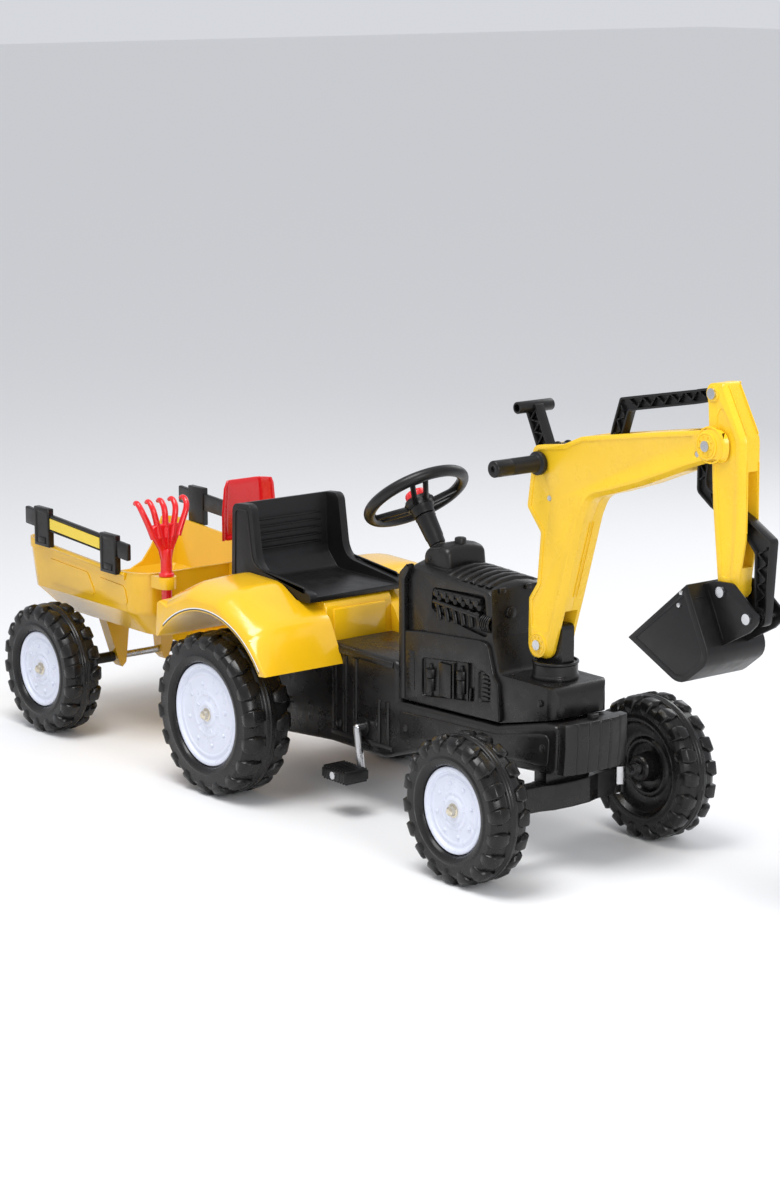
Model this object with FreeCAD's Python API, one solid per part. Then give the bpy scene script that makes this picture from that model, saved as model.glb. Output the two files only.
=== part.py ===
import FreeCAD, Part
import math
import os
from FreeCAD import Vector

os.makedirs("parts", exist_ok=True)

# Ride-on pedal digger with a tipping trailer. Millimetres, +X towards the bucket, +Z up.
# The numbers below count X from the front axle; save() moves the whole object so that
# its origin is at ground level under the middle of its overall box.
ORIGIN_SHIFT = 402.2

# Wheels: radius, tyre width, hub disc radius, distance of the outer face from the middle.
FRONT_WHEEL = dict(x=0.0, r=110.0, width=68.0, disc=64.5, outer=217.5)
REAR_WHEEL = dict(x=-602.0, r=130.5, width=87.0, disc=82.5, outer=221.5)
TRAILER_WHEEL = dict(x=-1100.0, r=110.0, width=68.0, disc=64.5, outer=214.5)
AXLE_R = 6.0
KINGPIN_Y = 112.0

# Body
WALL = 4.0
HOOD_HALF = 58.0
BODY_HALF = 63.0
SEAT_BODY_HALF = 66.0
FENDER_OUTER = 215.0
FENDER_ARCH_R = 171.0

# Steering column: a straight rod from the wheel hub down to the front axle.
COLUMN_FOOT = Vector(-36.0, 0, 102.0)
COLUMN_TOP = Vector(-331.0, 0, 482.0)
STEER_WHEEL_R = 86.0

# Pedals
CRANK_X = -390.0
CRANK_Z = 131.0
CRANK_LENGTH = 66.0
PEDAL_Y = 104.0
SPROCKET_R = 24.0

# Digger pivots, all hinging about Y except the slew axis.
SLEW_X = -17.0
BASE_PIVOT = (-28.0, 321.0)
ELBOW = (310.0, 657.0)
STICK_TOP = (313.0, 728.0)
LEVER_PIVOT = (-8.0, 540.0)
LEVER_PIN = (LEVER_PIVOT[0] + STICK_TOP[0] - ELBOW[0], LEVER_PIVOT[1] + STICK_TOP[1] - ELBOW[1])
LINK_PIVOT = (291.0, 643.0)
BUCKET_PIVOT = (347.0, 463.0)
BUCKET_LINK_PIN = (397.0, 434.0)
BOOM_HALF = 25.0
STICK_HALF = 18.0
BUCKET_HALF = 56.0
LINK_HALF = 7.0
PIVOT_BOLT_R = 4.0
GRIP = (-27.5, 589.0)

# Trailer
HITCH_X = -745.0
TUB_REAR = -1222.0
TUB_FRONT = -868.0
TUB_TOP = 318.0
TUB_FLOOR = 190.0
RAIL_Y = 158.0
RAKE_Y = -115.0
SHOVEL_Y = 42.0
HOLDER_X = -848.0
RING_Z = 280.0


def save(name, *solids):
    """Write one node, moved into the object's own frame."""
    shape = solids[0] if len(solids) == 1 else Part.makeCompound(list(solids))
    shape = shape.copy()
    shape.translate(Vector(ORIGIN_SHIFT, 0, 0))
    shape.exportStep("parts/" + name + ".step")


def outline(points, to3d):
    """Closed wire through 2-D points; a third value rounds that corner."""
    edges = []
    starts = []
    ends = []
    count = len(points)
    for index, point in enumerate(points):
        here = Vector(point[0], point[1], 0)
        radius = point[2] if len(point) > 2 else 0
        if not radius:
            starts.append(here)
            ends.append(here)
            edges.append(None)
            continue
        before = Vector(*points[index - 1][:2], 0) - here
        after = Vector(*points[(index + 1) % count][:2], 0) - here
        before.normalize()
        after.normalize()
        half = before.getAngle(after) / 2
        middle = before + after
        middle.normalize()
        reach = radius / math.tan(half)
        centre = here + middle * (radius / math.sin(half))
        starts.append(here + before * reach)
        ends.append(here + after * reach)
        edges.append(centre - middle * radius)
    parts = []
    for index in range(count):
        if edges[index] is not None:
            arc = Part.Arc(to3d(starts[index]), to3d(edges[index]), to3d(ends[index]))
            parts.append(arc.toShape())
        tail = ends[index]
        head = starts[(index + 1) % count]
        if (head - tail).Length > 1e-6:
            parts.append(Part.LineSegment(to3d(tail), to3d(head)).toShape())
    return Part.Wire(Part.__sortEdges__(parts))


def side_plate(points, y_low, y_high):
    """A flat outline in the X-Z plane, given thickness along Y."""
    wire = outline(points, lambda p: Vector(p.x, y_low, p.y))
    return Part.Face(wire).extrude(Vector(0, y_high - y_low, 0))


def floor_plate(points, z_low, z_high):
    """A flat outline in the X-Y plane, given height along Z."""
    wire = outline(points, lambda p: Vector(p.x, p.y, z_low))
    return Part.Face(wire).extrude(Vector(0, 0, z_high - z_low))


def rounded_box(x_low, x_high, half, z_low, z_high, radius):
    """An upright box with its four vertical edges rounded."""
    corners = [(x_low, -half, radius), (x_high, -half, radius), (x_high, half, radius), (x_low, half, radius)]
    return floor_plate(corners, z_low, z_high)


def box(x_low, x_high, y_low, y_high, z_low, z_high):
    return Part.makeBox(x_high - x_low, y_high - y_low, z_high - z_low, Vector(x_low, y_low, z_low))


def rod(radius, start, end):
    """A round bar between two points."""
    return Part.makeCylinder(radius, (end - start).Length, start, end - start)


def cross_rod(radius, place, y_low, y_high):
    """A round bar along Y through a point of the X-Z plane."""
    return Part.makeCylinder(radius, y_high - y_low, Vector(place[0], y_low, place[1]), Vector(0, 1, 0))


def upright(radius, x, y, z_low, z_high):
    return Part.makeCylinder(radius, z_high - z_low, Vector(x, y, z_low))


def turned(profile, x, z, outward):
    """Turn (radius, depth) points about a wheel's axle; depth counts from the outer face."""
    corners = [Vector(x + point[0], outward * point[1], z) for point in profile]
    face = Part.Face(Part.makePolygon(corners + [corners[0]]))
    return face.revolve(Vector(x, 0, z), Vector(0, 1, 0), 360)


def through_bolt(radius, place, half, head_r=7.5, head_t=4.0):
    """A pivot bolt along Y with a head on one side and a nut on the other."""
    shank = cross_rod(radius, place, -half, half)
    head = cross_rod(head_r, place, -half - head_t, -half)
    nut = cross_rod(head_r, place, half, half + head_t)
    return shank.fuse([head, nut]).removeSplitter()


def wheel(data, side, axle_hole):
    """Hollow moulded tyre body, the white disc in its face, and the domed nut."""
    r, width, disc, outer = data["r"], data["width"], data["disc"], data["outer"]
    x, z = data["x"], data["r"]
    inner = outer - width
    bore = axle_hole
    tyre_profile = [(bore, outer - 26), (disc, outer - 20), (disc, outer - 9), (disc + 9, outer - 1.5),
                    (disc + 18, outer), (r - 9, outer - 5), (r, outer - 16), (r, inner + 12),
                    (r - 9, inner + 2), (disc + 16, inner), (disc, inner + 6), (disc - 10, inner + 20),
                    (22, inner + 26), (20, inner), (bore, inner)]
    tyre = turned(tyre_profile, x, z, side)
    air_profile = [(disc + 4, outer - 9), (disc + 18, outer - 5), (r - 11, outer - 10), (r - 5, outer - 19),
                   (r - 5, inner + 14), (r - 11, inner + 7), (disc + 14, inner + 5), (disc + 4, inner + 9)]
    tyre = tyre.cut(turned(air_profile, x, z, side))
    disc_profile = [(bore, outer - 25.7), (disc - 0.4, outer - 19.7), (disc - 0.4, outer - 11), (disc - 7, outer - 8),
                    (disc - 16, outer - 14), (30, outer - 11), (18, outer - 12), (bore, outer - 12)]
    rim = turned(disc_profile, x, z, side)
    nut_low = outer - 11.7
    nut_profile = [(0.0, nut_low + 11.5), (4.0, nut_low + 11), (6.8, nut_low + 8.5), (7.6, nut_low + 3),
                   (10.5, nut_low + 2), (10.5, nut_low), (AXLE_R + 0.1, nut_low),
                   (AXLE_R + 0.1, nut_low + 6.5), (0.0, nut_low + 6.5)]
    nut = turned(nut_profile, x, z, side)
    return tyre, rim, nut


def wheels():
    """Six wheels. The driven rear pair is fixed to its axle; the others turn on theirs."""
    rear_discs = []
    rear_nuts = []
    trailer_nuts = []
    for name, side in (("right", -1), ("left", 1)):
        tyre, rim, nut = wheel(FRONT_WHEEL, side, AXLE_R + 0.05)
        save("tyre_front_" + name, tyre)
        save("wheel_disc_front_" + name, rim)
        save("hub_nut_front_" + name, nut)
        tyre, rim, nut = wheel(REAR_WHEEL, side, AXLE_R)
        save("tyre_rear_" + name, tyre)
        rear_discs.append(rim)
        rear_nuts.append(nut)
        tyre, rim, nut = wheel(TRAILER_WHEEL, side, AXLE_R + 0.05)
        save("tyre_trailer_" + name, tyre)
        save("wheel_disc_trailer_" + name, rim)
        trailer_nuts.append(nut)
    save("wheel_discs_rear", *rear_discs)
    save("hub_nuts_rear", *rear_nuts)
    save("hub_nuts_trailer", *trailer_nuts)


CHASSIS_SIDE = [(-700, 110, 12), (-640, 76, 30), (-475, 90, 20), (-340, 90, 20), (-262, 116, 30), (-150, 134, 30),
                (-40, 140, 10), (56, 147, 18), (60, 222, 10), (30, 221), (-75, 196), (-303, 188), (-303, 250, 16),
                (-476, 252, 8), (-478, 212), (-700, 212, 8)]


def inset(points, wall):
    """The outline moved inwards by the wall, as a face in the X-Z plane at y = 0."""
    wire = outline(points, lambda p: Vector(p.x, 0, p.y))
    face = Part.Face(wire)
    return face.makeOffset2D(-wall, fill=False)


def hollow_side(points, half, wall, y_wall):
    """A side outline given width, hollow, with closed sides."""
    solid = side_plate(points, -half, half)
    core = inset(points, wall)
    core_face = core if core.Faces else Part.Face(core.Wires[0])
    core_face = core_face.copy()
    core_face.translate(Vector(0, -half + y_wall, 0))
    return solid.cut(core_face.extrude(Vector(0, 2 * (half - y_wall), 0)))


def chassis_shell():
    """Lower body moulding: nose, foot tunnel and the box that carries the seat body."""
    shell = hollow_side(CHASSIS_SIDE, BODY_HALF, WALL, WALL)
    shell = shell.cut(cross_rod(10.5, (REAR_WHEEL["x"], REAR_WHEEL["r"]), -80, 80))
    shell = shell.cut(cross_rod(10.5, (CRANK_X, CRANK_Z), -80, 80))
    direction = COLUMN_TOP - COLUMN_FOOT
    direction.normalize()
    shell = shell.cut(rod(9.0, COLUMN_FOOT, COLUMN_FOOT + direction * 260))
    return shell


HOOD_SIDE = [(-300, 189), (-300, 412, 18), (-270, 412), (-160, 405), (-96, 403, 10), (-94, 324, 6), (-76, 270, 10),
             (40, 270, 14), (42, 224.5), (-75, 197.5)]


def hood_cover():
    """Upper moulding: engine cover with a crowned top, the dash cap and the nose box under the turret."""
    shell = hollow_side(HOOD_SIDE, HOOD_HALF, WALL, WALL)
    keep = rounded_box(-300, 42, HOOD_HALF, 180, 440, 20.0)
    core = rounded_box(-300 + WALL, 42 - WALL, HOOD_HALF - WALL, 200, 399, 16.0)
    shell = shell.common(keep)
    shell = shell.fuse(keep.cut(core).common(side_plate(HOOD_SIDE, -HOOD_HALF, HOOD_HALF)))
    for side in (-1, 1):
        slope = Part.makePolygon([Vector(-310, side * 30, 413), Vector(-310, side * 60, 413),
                                  Vector(-310, side * 60, 400), Vector(-310, side * 30, 413)])
        shell = shell.cut(Part.Face(slope).extrude(Vector(230, 0, -9)))
    shell = shell.fuse(dash_cap())
    shell = shell.cut(upright(21.0, SLEW_X, 0, 240, 300))
    direction = COLUMN_TOP - COLUMN_FOOT
    direction.normalize()
    shell = shell.cut(rod(9.0, COLUMN_FOOT, COLUMN_TOP))
    shell = shell.cut(rod(17.0, COLUMN_FOOT + direction * 402, COLUMN_TOP))
    return shell.removeSplitter()


def dash_cap():
    """Rounded cap on the rear of the engine cover, with a small filler bump on top."""
    side = [(-277, 400), (-275, 430, 12), (-240, 440, 14), (-219, 438, 10), (-216, 400)]
    cap = side_plate(side, -38, 38)
    cap = cap.common(rounded_box(-277, -216, 38, 395, 450, 16.0))
    hollow = side_plate([(-271, 396), (-269, 426, 8), (-240, 434, 8), (-225, 432, 6), (-222, 396)], -32, 32)
    bump = upright(9.0, -234, 0, 434, 445.5)
    return cap.cut(hollow).fuse(bump).removeSplitter()


def bumper_grille():
    """Ribbed plate on the nose."""
    plan = [(60.4, -61, 4), (75, -61, 8), (84, -30, 60), (84, 30, 60), (75, 61, 8), (60.4, 61, 4)]
    plate = floor_plate(plan, 150, 226)
    clip = box(61, 70, -6, 6, 226, 233)
    return plate.fuse(clip)


def front_axle_beam():
    """Cross beam under the nose, with an eye at each end for the kingpins."""
    beam = box(-15, 15, -94, 94, 84, 124)
    beam = beam.fuse(box(-15, 15, -44, 44, 120, 141.7))
    for side in (-1, 1):
        near, far = sorted((side * 86, side * KINGPIN_Y))
        for low, high in ((84, 96), (124, 136)):
            beam = beam.fuse(upright(13.0, 0, side * KINGPIN_Y, low, high))
            beam = beam.fuse(box(-12, 12, near, far, low, high))
        near, far = sorted((side * 80, side * 94))
        beam = beam.fuse(box(-12, 12, near, far, 84, 136))
    for side in (-1, 1):
        beam = beam.cut(upright(5.05, 0, side * KINGPIN_Y, 78, 150))
    return beam.cut(box(-50, -8, -50, 50, 80, 124)).removeSplitter()


def kingpins():
    pins = []
    for side in (-1, 1):
        pin = upright(5.0, 0, side * KINGPIN_Y, 80, 140)
        pins.append(pin.fuse(upright(9.0, 0, side * KINGPIN_Y, 136.0, 143)).removeSplitter())
    return pins


def knuckle(side):
    """Stub axle: an eye on the kingpin, the axle through the wheel and the steering arm."""
    hub = upright(13.0, 0, side * KINGPIN_Y, 96.5, 123.5)
    axle = rod(AXLE_R, Vector(0, side * (KINGPIN_Y + 8), 110), Vector(0, side * (FRONT_WHEEL["outer"] - 5.5), 110))
    collar = rod(10.0, Vector(0, side * (KINGPIN_Y + 8), 110), Vector(0, side * (FRONT_WHEEL["outer"] - 69.0), 110))
    arm = box(-62, 0, min(side * 106, side * 118), max(side * 106, side * 118), 99, 105)
    arm = arm.fuse(upright(9.0, -62, side * KINGPIN_Y, 99, 105))
    body = hub.fuse([axle, collar, arm])
    body = body.cut(upright(5.06, 0, side * KINGPIN_Y, 80, 150))
    body = body.cut(upright(3.6, -62, side * KINGPIN_Y, 90, 110))
    return body.removeSplitter()


def tie_rod():
    """Flat bar joining the two steering arms, forked in the middle for the column's crank."""
    bar = box(-70, -54, -KINGPIN_Y, KINGPIN_Y, 92.5, 98.5)
    for side in (-1, 1):
        bar = bar.fuse(upright(8.0, -62, side * KINGPIN_Y, 92.5, 98.5))
        bar = bar.fuse(upright(3.0, -62, side * KINGPIN_Y, 98, 109))
    fork = box(-76, -54, -15, 15, 74, 98.5).cut(box(-80, -44, -9, 9, 80.5, 110))
    bar = bar.cut(box(-80, -44, -9, 9, 80.5, 110))
    return bar.fuse(fork).removeSplitter()


def steering_shaft():
    """Steel column rod with a crank at its foot that moves the tie rod."""
    direction = COLUMN_TOP - COLUMN_FOOT
    direction.normalize()
    shaft = rod(5.0, COLUMN_FOOT, COLUMN_TOP - direction * 5)
    crank_end = COLUMN_FOOT + Vector(-direction.z, 0, direction.x) * 24
    crank = rod(5.0, COLUMN_FOOT + direction * 2, crank_end + direction * 2)
    tip = Part.makeSphere(6.0, crank_end + direction * 2)
    return shaft.fuse([crank, tip]).removeSplitter()


def column_sleeve():
    """Tapered black collar where the column leaves the dash, turning with the wheel."""
    direction = COLUMN_TOP - COLUMN_FOOT
    direction.normalize()
    low = COLUMN_TOP - direction * 72
    body = Part.makeCone(13.0, 16.0, 50, low, direction)
    return body.cut(rod(5.0, low - direction * 5, COLUMN_TOP + direction * 20))


def steering_wheel():
    """Ring with a hub and three pairs of spokes."""
    direction = COLUMN_TOP - COLUMN_FOOT
    direction.normalize()
    ring = Part.makeTorus(STEER_WHEEL_R - 9, 9.0, Vector(0, 0, 14), Vector(0, 0, 1))
    hub = Part.makeCone(17.0, 24.0, 24, Vector(0, 0, -20), Vector(0, 0, 1))
    solid = ring.fuse(hub)
    for index in range(3):
        for offset in (-9, 9):
            spoke = box(14, STEER_WHEEL_R - 10, offset - 4, offset + 4, -5, 5)
            spoke.rotate(Vector(14, 0, 0), Vector(0, 1, 0), -12)
            spoke.rotate(Vector(0, 0, 0), Vector(0, 0, 1), 90 + 120 * index)
            solid = solid.fuse(spoke)
    solid = solid.cut(upright(17.5, 0, 0, -4, 30))
    solid = solid.cut(upright(5.0, 0, 0, -30, -2))
    return to_column(solid.removeSplitter())


def to_column(shape):
    """Move a shape made about the origin to the wheel end of the column."""
    direction = COLUMN_TOP - COLUMN_FOOT
    turn = FreeCAD.Rotation(Vector(0, 0, 1), direction)
    placed = shape.copy()
    placed.Placement = FreeCAD.Placement(COLUMN_TOP, turn)
    return placed


def horn_button():
    """Red domed button in the wheel's hub; the stem slides in the hub cup."""
    stem = upright(17.1, 0, 0, 1.0, 8)
    dome = Part.makeSphere(30.0, Vector(0, 0, -7)).common(upright(17.1, 0, 0, 7, 40))
    return to_column(stem.fuse(dome).removeSplitter())


FENDER_SIDE = [(-734, 236), (-728, 304, 24), (-652, 338, 60), (-560, 336, 60), (-474, 290, 50), (-440, 222), (-600, 222)]


def fender(side):
    """Arched mudguard over a rear wheel: a thin shell, open underneath, with a side skirt."""
    low, high = sorted((side * (SEAT_BODY_HALF - 3), side * FENDER_OUTER))
    solid = side_plate(FENDER_SIDE, low, high)
    slope = Part.makePolygon([Vector(-800, side * 150, 350), Vector(-800, side * 230, 350),
                              Vector(-800, side * 230, 304), Vector(-800, side * 150, 350)])
    slope = Part.Face(slope).extrude(Vector(400, 0, 0))
    solid = solid.cut(slope)
    place = (REAR_WHEEL["x"] + 2, 125)
    solid = solid.cut(cross_rod(FENDER_ARCH_R, place, -230, 230))
    inside_low, inside_high = sorted((side * (SEAT_BODY_HALF + 1), side * (FENDER_OUTER - 4)))
    hollow = inset(FENDER_SIDE, 4.0)
    hollow_face = hollow if hollow.Faces else Part.Face(hollow.Wires[0])
    hollow_face = hollow_face.copy()
    hollow_face.translate(Vector(0, inside_low, 0))
    hollow = hollow_face.extrude(Vector(0, inside_high - inside_low, 0))
    slope.translate(Vector(0, 0, -5))
    hollow = hollow.cut(slope).cut(cross_rod(FENDER_ARCH_R + 4.0, place, -230, 230))
    seat_room = box(-720, -460, -100, 100, 308.5, 350)
    solid = solid.cut(hollow.cut(seat_room))
    return solid.cut(box(-700, -470, -95.5, 95.5, 313.0, 350))


def seat_body():
    """Yellow moulding under the seat, in one piece with both mudguards."""
    box_side = [(-716, 212.3), (-716, 313, 10), (-482, 313, 14), (-480, 212.3)]
    centre = hollow_side(box_side, SEAT_BODY_HALF, WALL, WALL)
    centre = centre.cut(box(-700, -490, -50, 50, 205, 220))
    body = centre.fuse([fender(-1), fender(1)]).removeSplitter()
    return body.cut(box(-700, -479, -95.5, 95.5, 313.0, 350))


def seat():
    """Black seat: pan with raised sides and a low back."""
    side = [(-694, 313.3), (-690, 443, 12), (-640, 448, 12), (-624, 345, 30), (-500, 330, 10), (-482, 326, 8), (-486, 313.3)]
    shell = side_plate(side, -94, 94)
    hollow = [(-628, 470), (-672, 470), (-668, 352, 16), (-640, 324, 14), (-470, 322), (-470, 470)]
    shell = shell.cut(side_plate(hollow, -80, 80))
    return shell.removeSplitter()


def rear_axle():
    axle = rod(AXLE_R, Vector(REAR_WHEEL["x"], -REAR_WHEEL["outer"] + 5.5, REAR_WHEEL["r"]),
               Vector(REAR_WHEEL["x"], REAR_WHEEL["outer"] - 5.5, REAR_WHEEL["r"]))
    return axle.fuse(sprocket((REAR_WHEEL["x"], REAR_WHEEL["r"]))).removeSplitter()


def bearing(place, bore):
    """Pair of flanged nylon bushes in the body's side walls."""
    bushes = []
    for side in (-1, 1):
        collar = rod(bore + 4, Vector(place[0], side * 56, place[1]), Vector(place[0], side * 64, place[1]))
        flange = rod(bore + 9, Vector(place[0], side * 63.2, place[1]), Vector(place[0], side * 66, place[1]))
        bush = collar.fuse(flange).cut(rod(bore, Vector(place[0], side * 50, place[1]),
                                           Vector(place[0], side * 70, place[1])))
        bushes.append(bush.removeSplitter())
    return bushes


def sprocket(place):
    """Chain wheel welded to its shaft inside the body, on the middle plane."""
    teeth = 20
    points = []
    for index in range(teeth * 2):
        angle = math.pi * index / teeth
        radius = SPROCKET_R + (2.0 if index % 2 else -2.0)
        points.append((place[0] + radius * math.cos(angle), place[1] + radius * math.sin(angle)))
    blank = side_plate(points, -2.0, 2.0)
    return blank.fuse(cross_rod(14.0, place, -8, 8))


def chain():
    """Roller chain as one loop round both chain wheels."""
    rear = Vector(REAR_WHEEL["x"], 0, REAR_WHEEL["r"])
    front = Vector(CRANK_X, 0, CRANK_Z)
    outer = chain_loop(rear, front, SPROCKET_R + 7.5)
    inner = chain_loop(rear, front, SPROCKET_R + 3.0)
    return outer.cut(inner)


def chain_loop(rear, front, radius):
    """A belt-shaped prism round two equal circles."""
    along = front - rear
    along.normalize()
    across = Vector(-along.z, 0, along.x) * radius
    half = Vector(0, 4, 0)
    corners = [rear + across, front + across, front - across, rear - across]
    belt = Part.Face(Part.makePolygon([c - half for c in corners] + [corners[0] - half])).extrude(half * 2)
    ends = [cross_rod(radius, (p.x, p.z), -4, 4) for p in (rear, front)]
    return belt.fuse(ends).removeSplitter()


def crank():
    """Cranked pedal axle bent from one steel bar: arms down on the right and up on the left."""
    shaft = cross_rod(AXLE_R, (CRANK_X, CRANK_Z), -76, 76)
    pieces = []
    for side in (-1, 1):
        foot = Vector(CRANK_X - side * 10, side * 76, CRANK_Z + side * (CRANK_LENGTH - 1))
        top = Vector(CRANK_X, side * 76, CRANK_Z)
        pieces.append(rod(6.0, top, foot))
        pieces.append(Part.makeSphere(6.0, top))
        pieces.append(Part.makeSphere(6.0, foot))
        pieces.append(rod(6.0, foot, Vector(foot.x, side * 133, foot.z)))
    pieces.append(sprocket((CRANK_X, CRANK_Z)))
    return shaft.fuse(pieces).removeSplitter()


def pedal(side):
    """Ribbed foot block that turns on the crank's end."""
    x = CRANK_X - side * 10
    z = CRANK_Z + side * (CRANK_LENGTH - 1)
    low, high = sorted((side * (PEDAL_Y - 20), side * (PEDAL_Y + 27)))
    block = side_plate([(x - 32, z - 11, 5), (x + 32, z - 11, 5), (x + 32, z + 11, 5), (x - 32, z + 11, 5)], low, high)
    return block.cut(cross_rod(6.06, (x, z), low - 1, high + 1))


def slew_ring():
    """Cup bolted on the nose box that carries the turret post."""
    cup = upright(35.0, SLEW_X, 0, 270.2, 298)
    cup = cup.cut(upright(31.0, SLEW_X, 0, 290, 299))
    spigot = upright(20.8, SLEW_X, 0, 244, 271)
    cup = cup.fuse(spigot)
    return cup.cut(upright(15.06, SLEW_X, 0, 240, 299)).removeSplitter()


def turret_post():
    """Turning post: a stem in the cup, a disc in its mouth and the block between the boom's feet."""
    stem = upright(15.0, SLEW_X, 0, 236, 292)
    disc = upright(30.6, SLEW_X, 0, 290.4, 295.4)
    block = side_plate([(-44, 295), (-44, 330, 16), (-40, 352, 10), (10, 355, 8), (10, 295)], -11.6, 11.6)
    clip = upright(19.0, SLEW_X, 0, 232, 240)
    post = stem.fuse([disc, block, clip])
    return post.cut(cross_rod(PIVOT_BOLT_R + 0.06, BASE_PIVOT, -30, 30)).removeSplitter()


BOOM_SIDE = [(-49, 300.6, 20), (-7, 300.6, 20), (5, 340), (24, 400), (60, 520), (76, 552, 34), (120, 564, 80),
             (181, 584), (279, 622), (318, 635, 20), (346, 634, 18), (352, 686, 22), (305, 678), (180, 658), (60, 638, 30),
             (22, 622, 30), (-42, 613, 14), (-47, 568), (-54, 522, 8), (-24, 488, 8), (-31, 412, 10), (-48, 388, 8)]


def boom_half(side):
    """One moulded half of the boom, split on the middle plane."""
    low, high = sorted((0.0, side * BOOM_HALF))
    half = side_plate(BOOM_SIDE, low, high)
    core = inset(BOOM_SIDE, WALL)
    core_face = core if core.Faces else Part.Face(core.Wires[0])
    core = core_face.extrude(Vector(0, side * (BOOM_HALF - WALL), 0))
    half = half.cut(core)
    foot = [(-49, 300.6, 20), (-7, 300.6, 20), (5, 340), (18, 380), (-44, 380)]
    pad_low, pad_high = sorted((side * 12.2, side * (BOOM_HALF - 1)))
    half = half.fuse(side_plate(foot, pad_low, pad_high))
    half = half.cut(box(-80, 40, -12.2, 12.2, 290, 376))
    half = half.cut(box(260, 360, -19.0, 19.0, 600, 690))
    half = half.cut(box(-80, 36, -13.5, 13.5, 530, 660))
    half = half.cut(box(62, 168, -9, 9, 610, 670))
    for place in (BASE_PIVOT, ELBOW, LEVER_PIVOT, LINK_PIVOT):
        half = half.cut(cross_rod(PIVOT_BOLT_R + 0.06, place, -30, 30))
    half = half.cut(cross_rod(PIVOT_BOLT_R + 0.06, GRIP, -30, 30))
    return half.removeSplitter()


def boom_bolts():
    """Base bolt, elbow bolt, lever pin, link pin and the grip's bolt, all held by the boom."""
    bolts = [through_bolt(PIVOT_BOLT_R, place, BOOM_HALF + 0.3) for place in (BASE_PIVOT, ELBOW)]
    bolts.append(cross_rod(PIVOT_BOLT_R, LEVER_PIVOT, -BOOM_HALF + 1, BOOM_HALF - 1))
    bolts.append(cross_rod(PIVOT_BOLT_R, LINK_PIVOT, -BOOM_HALF + 1, BOOM_HALF - 1))
    bolts.append(grip_bolt())
    return bolts


def grip_tube():
    """Black tube with a flange, bolted square to the boom's right face."""
    flange = cross_rod(17.5, GRIP, -BOOM_HALF - 8.2, -BOOM_HALF - 0.2)
    tube = cross_rod(12.3, GRIP, -114, -BOOM_HALF - 0.2)
    grip = flange.fuse(tube)
    grip = grip.cut(cross_rod(9.0, GRIP, -115, -104))
    return grip.cut(cross_rod(PIVOT_BOLT_R + 0.06, GRIP, -120, 0)).removeSplitter()


def grip_bolt():
    """Long bolt through the tube; its nut sits inside the boom's wall, clear of the lever."""
    shank = cross_rod(PIVOT_BOLT_R, GRIP, -109, -BOOM_HALF + 9)
    head = cross_rod(7.0, GRIP, -109, -104.2)
    nut = cross_rod(7.0, GRIP, -BOOM_HALF + WALL + 0.1, -BOOM_HALF + 9)
    return shank.fuse([head, nut]).removeSplitter()


def t_lever():
    """Hand lever: a stem through the boom's top, a cross bar and two cheeks for the upper link."""
    top = (-70.0, 664.0)
    lean = math.atan2(top[0] - LEVER_PIVOT[0], top[1] - LEVER_PIVOT[1])
    length = math.hypot(top[0] - LEVER_PIVOT[0], top[1] - LEVER_PIVOT[1])
    stem = box(-13, 13, -8, 8, 0, length).fuse(cross_rod(13, (0, 0), -8, 8))
    stem.rotate(Vector(0, 0, 0), Vector(0, 1, 0), math.degrees(lean))
    stem.translate(Vector(LEVER_PIVOT[0], 0, LEVER_PIVOT[1]))
    bar = cross_rod(8.8, top, -34, 34)
    lever = stem.fuse(bar)
    for side in (-1, 1):
        low, high = sorted((side * 7.9, side * 12.5))
        cheek = side_plate([(-50, 596, 4), (-44, 622, 4), (LEVER_PIN[0] + 9, 621, 9), (LEVER_PIN[0] + 9, 601, 9), (-28, 590, 4)],
                           low, high)
        lever = lever.fuse(cheek)
    lever = lever.cut(cross_rod(3.0, LEVER_PIN, -20, 20))
    return lever.cut(cross_rod(PIVOT_BOLT_R + 0.06, LEVER_PIVOT, -20, 20)).removeSplitter()


def lever_pin():
    return cross_rod(2.95, LEVER_PIN, -12.4, 12.4)


def top_link():
    """Bent truss bar from the hand lever, up through the boom's top, to the head of the stick."""
    path = [(LEVER_PIN[0] - 8, 603, 6), (104, 605, 4), (122, 640), (137, 682, 5), (270, 707.5), (321, 719.5, 7.8),
            (320, 736, 7.8), (300, 734), (270, 727.5), (119, 699, 5), (105, 660), (93, 620, 4), (LEVER_PIN[0] - 8, 619, 6)]
    bar = side_plate(path, -LINK_HALF, LINK_HALF)
    bar = bar.cut(cross_rod(3.01, LEVER_PIN, -20, 20))
    return bar.cut(cross_rod(PIVOT_BOLT_R + 0.45, STICK_TOP, -20, 20)).removeSplitter()


LINK_EYE_R = 7.3


def lower_link():
    """Z-shaped truss bar from under the elbow, through the stick's slot, to the bucket."""
    path = [(283, 652, 7), (299, 652, 7), (292, 598, 12), (372, 566), (418, 541, 7), (411, 440), (409, 421, 9),
            (386, 421, 9), (388, 442), (388, 520, 10), (366, 542), (302, 570), (275, 588, 10), (275, 620)]
    bar = side_plate(path, -LINK_HALF, LINK_HALF)
    bar = bar.fuse(cross_rod(13.0, BUCKET_LINK_PIN, -LINK_HALF, LINK_HALF))
    bar = bar.cut(cross_rod(PIVOT_BOLT_R + 0.06, LINK_PIVOT, -20, 20))
    return bar.cut(cross_rod(LINK_EYE_R, BUCKET_LINK_PIN, -20, 20)).removeSplitter()


STICK_SIDE = [(299, 741, 12), (333, 744, 7), (373, 672, 26), (375, 537), (366, 488), (362, 448, 15), (332, 452, 14),
              (330, 478), (318, 577), (314, 639.5), (300, 642, 8), (293, 650, 8), (293, 664, 8), (299, 675, 8),
              (307, 684), (305, 712)]


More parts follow.
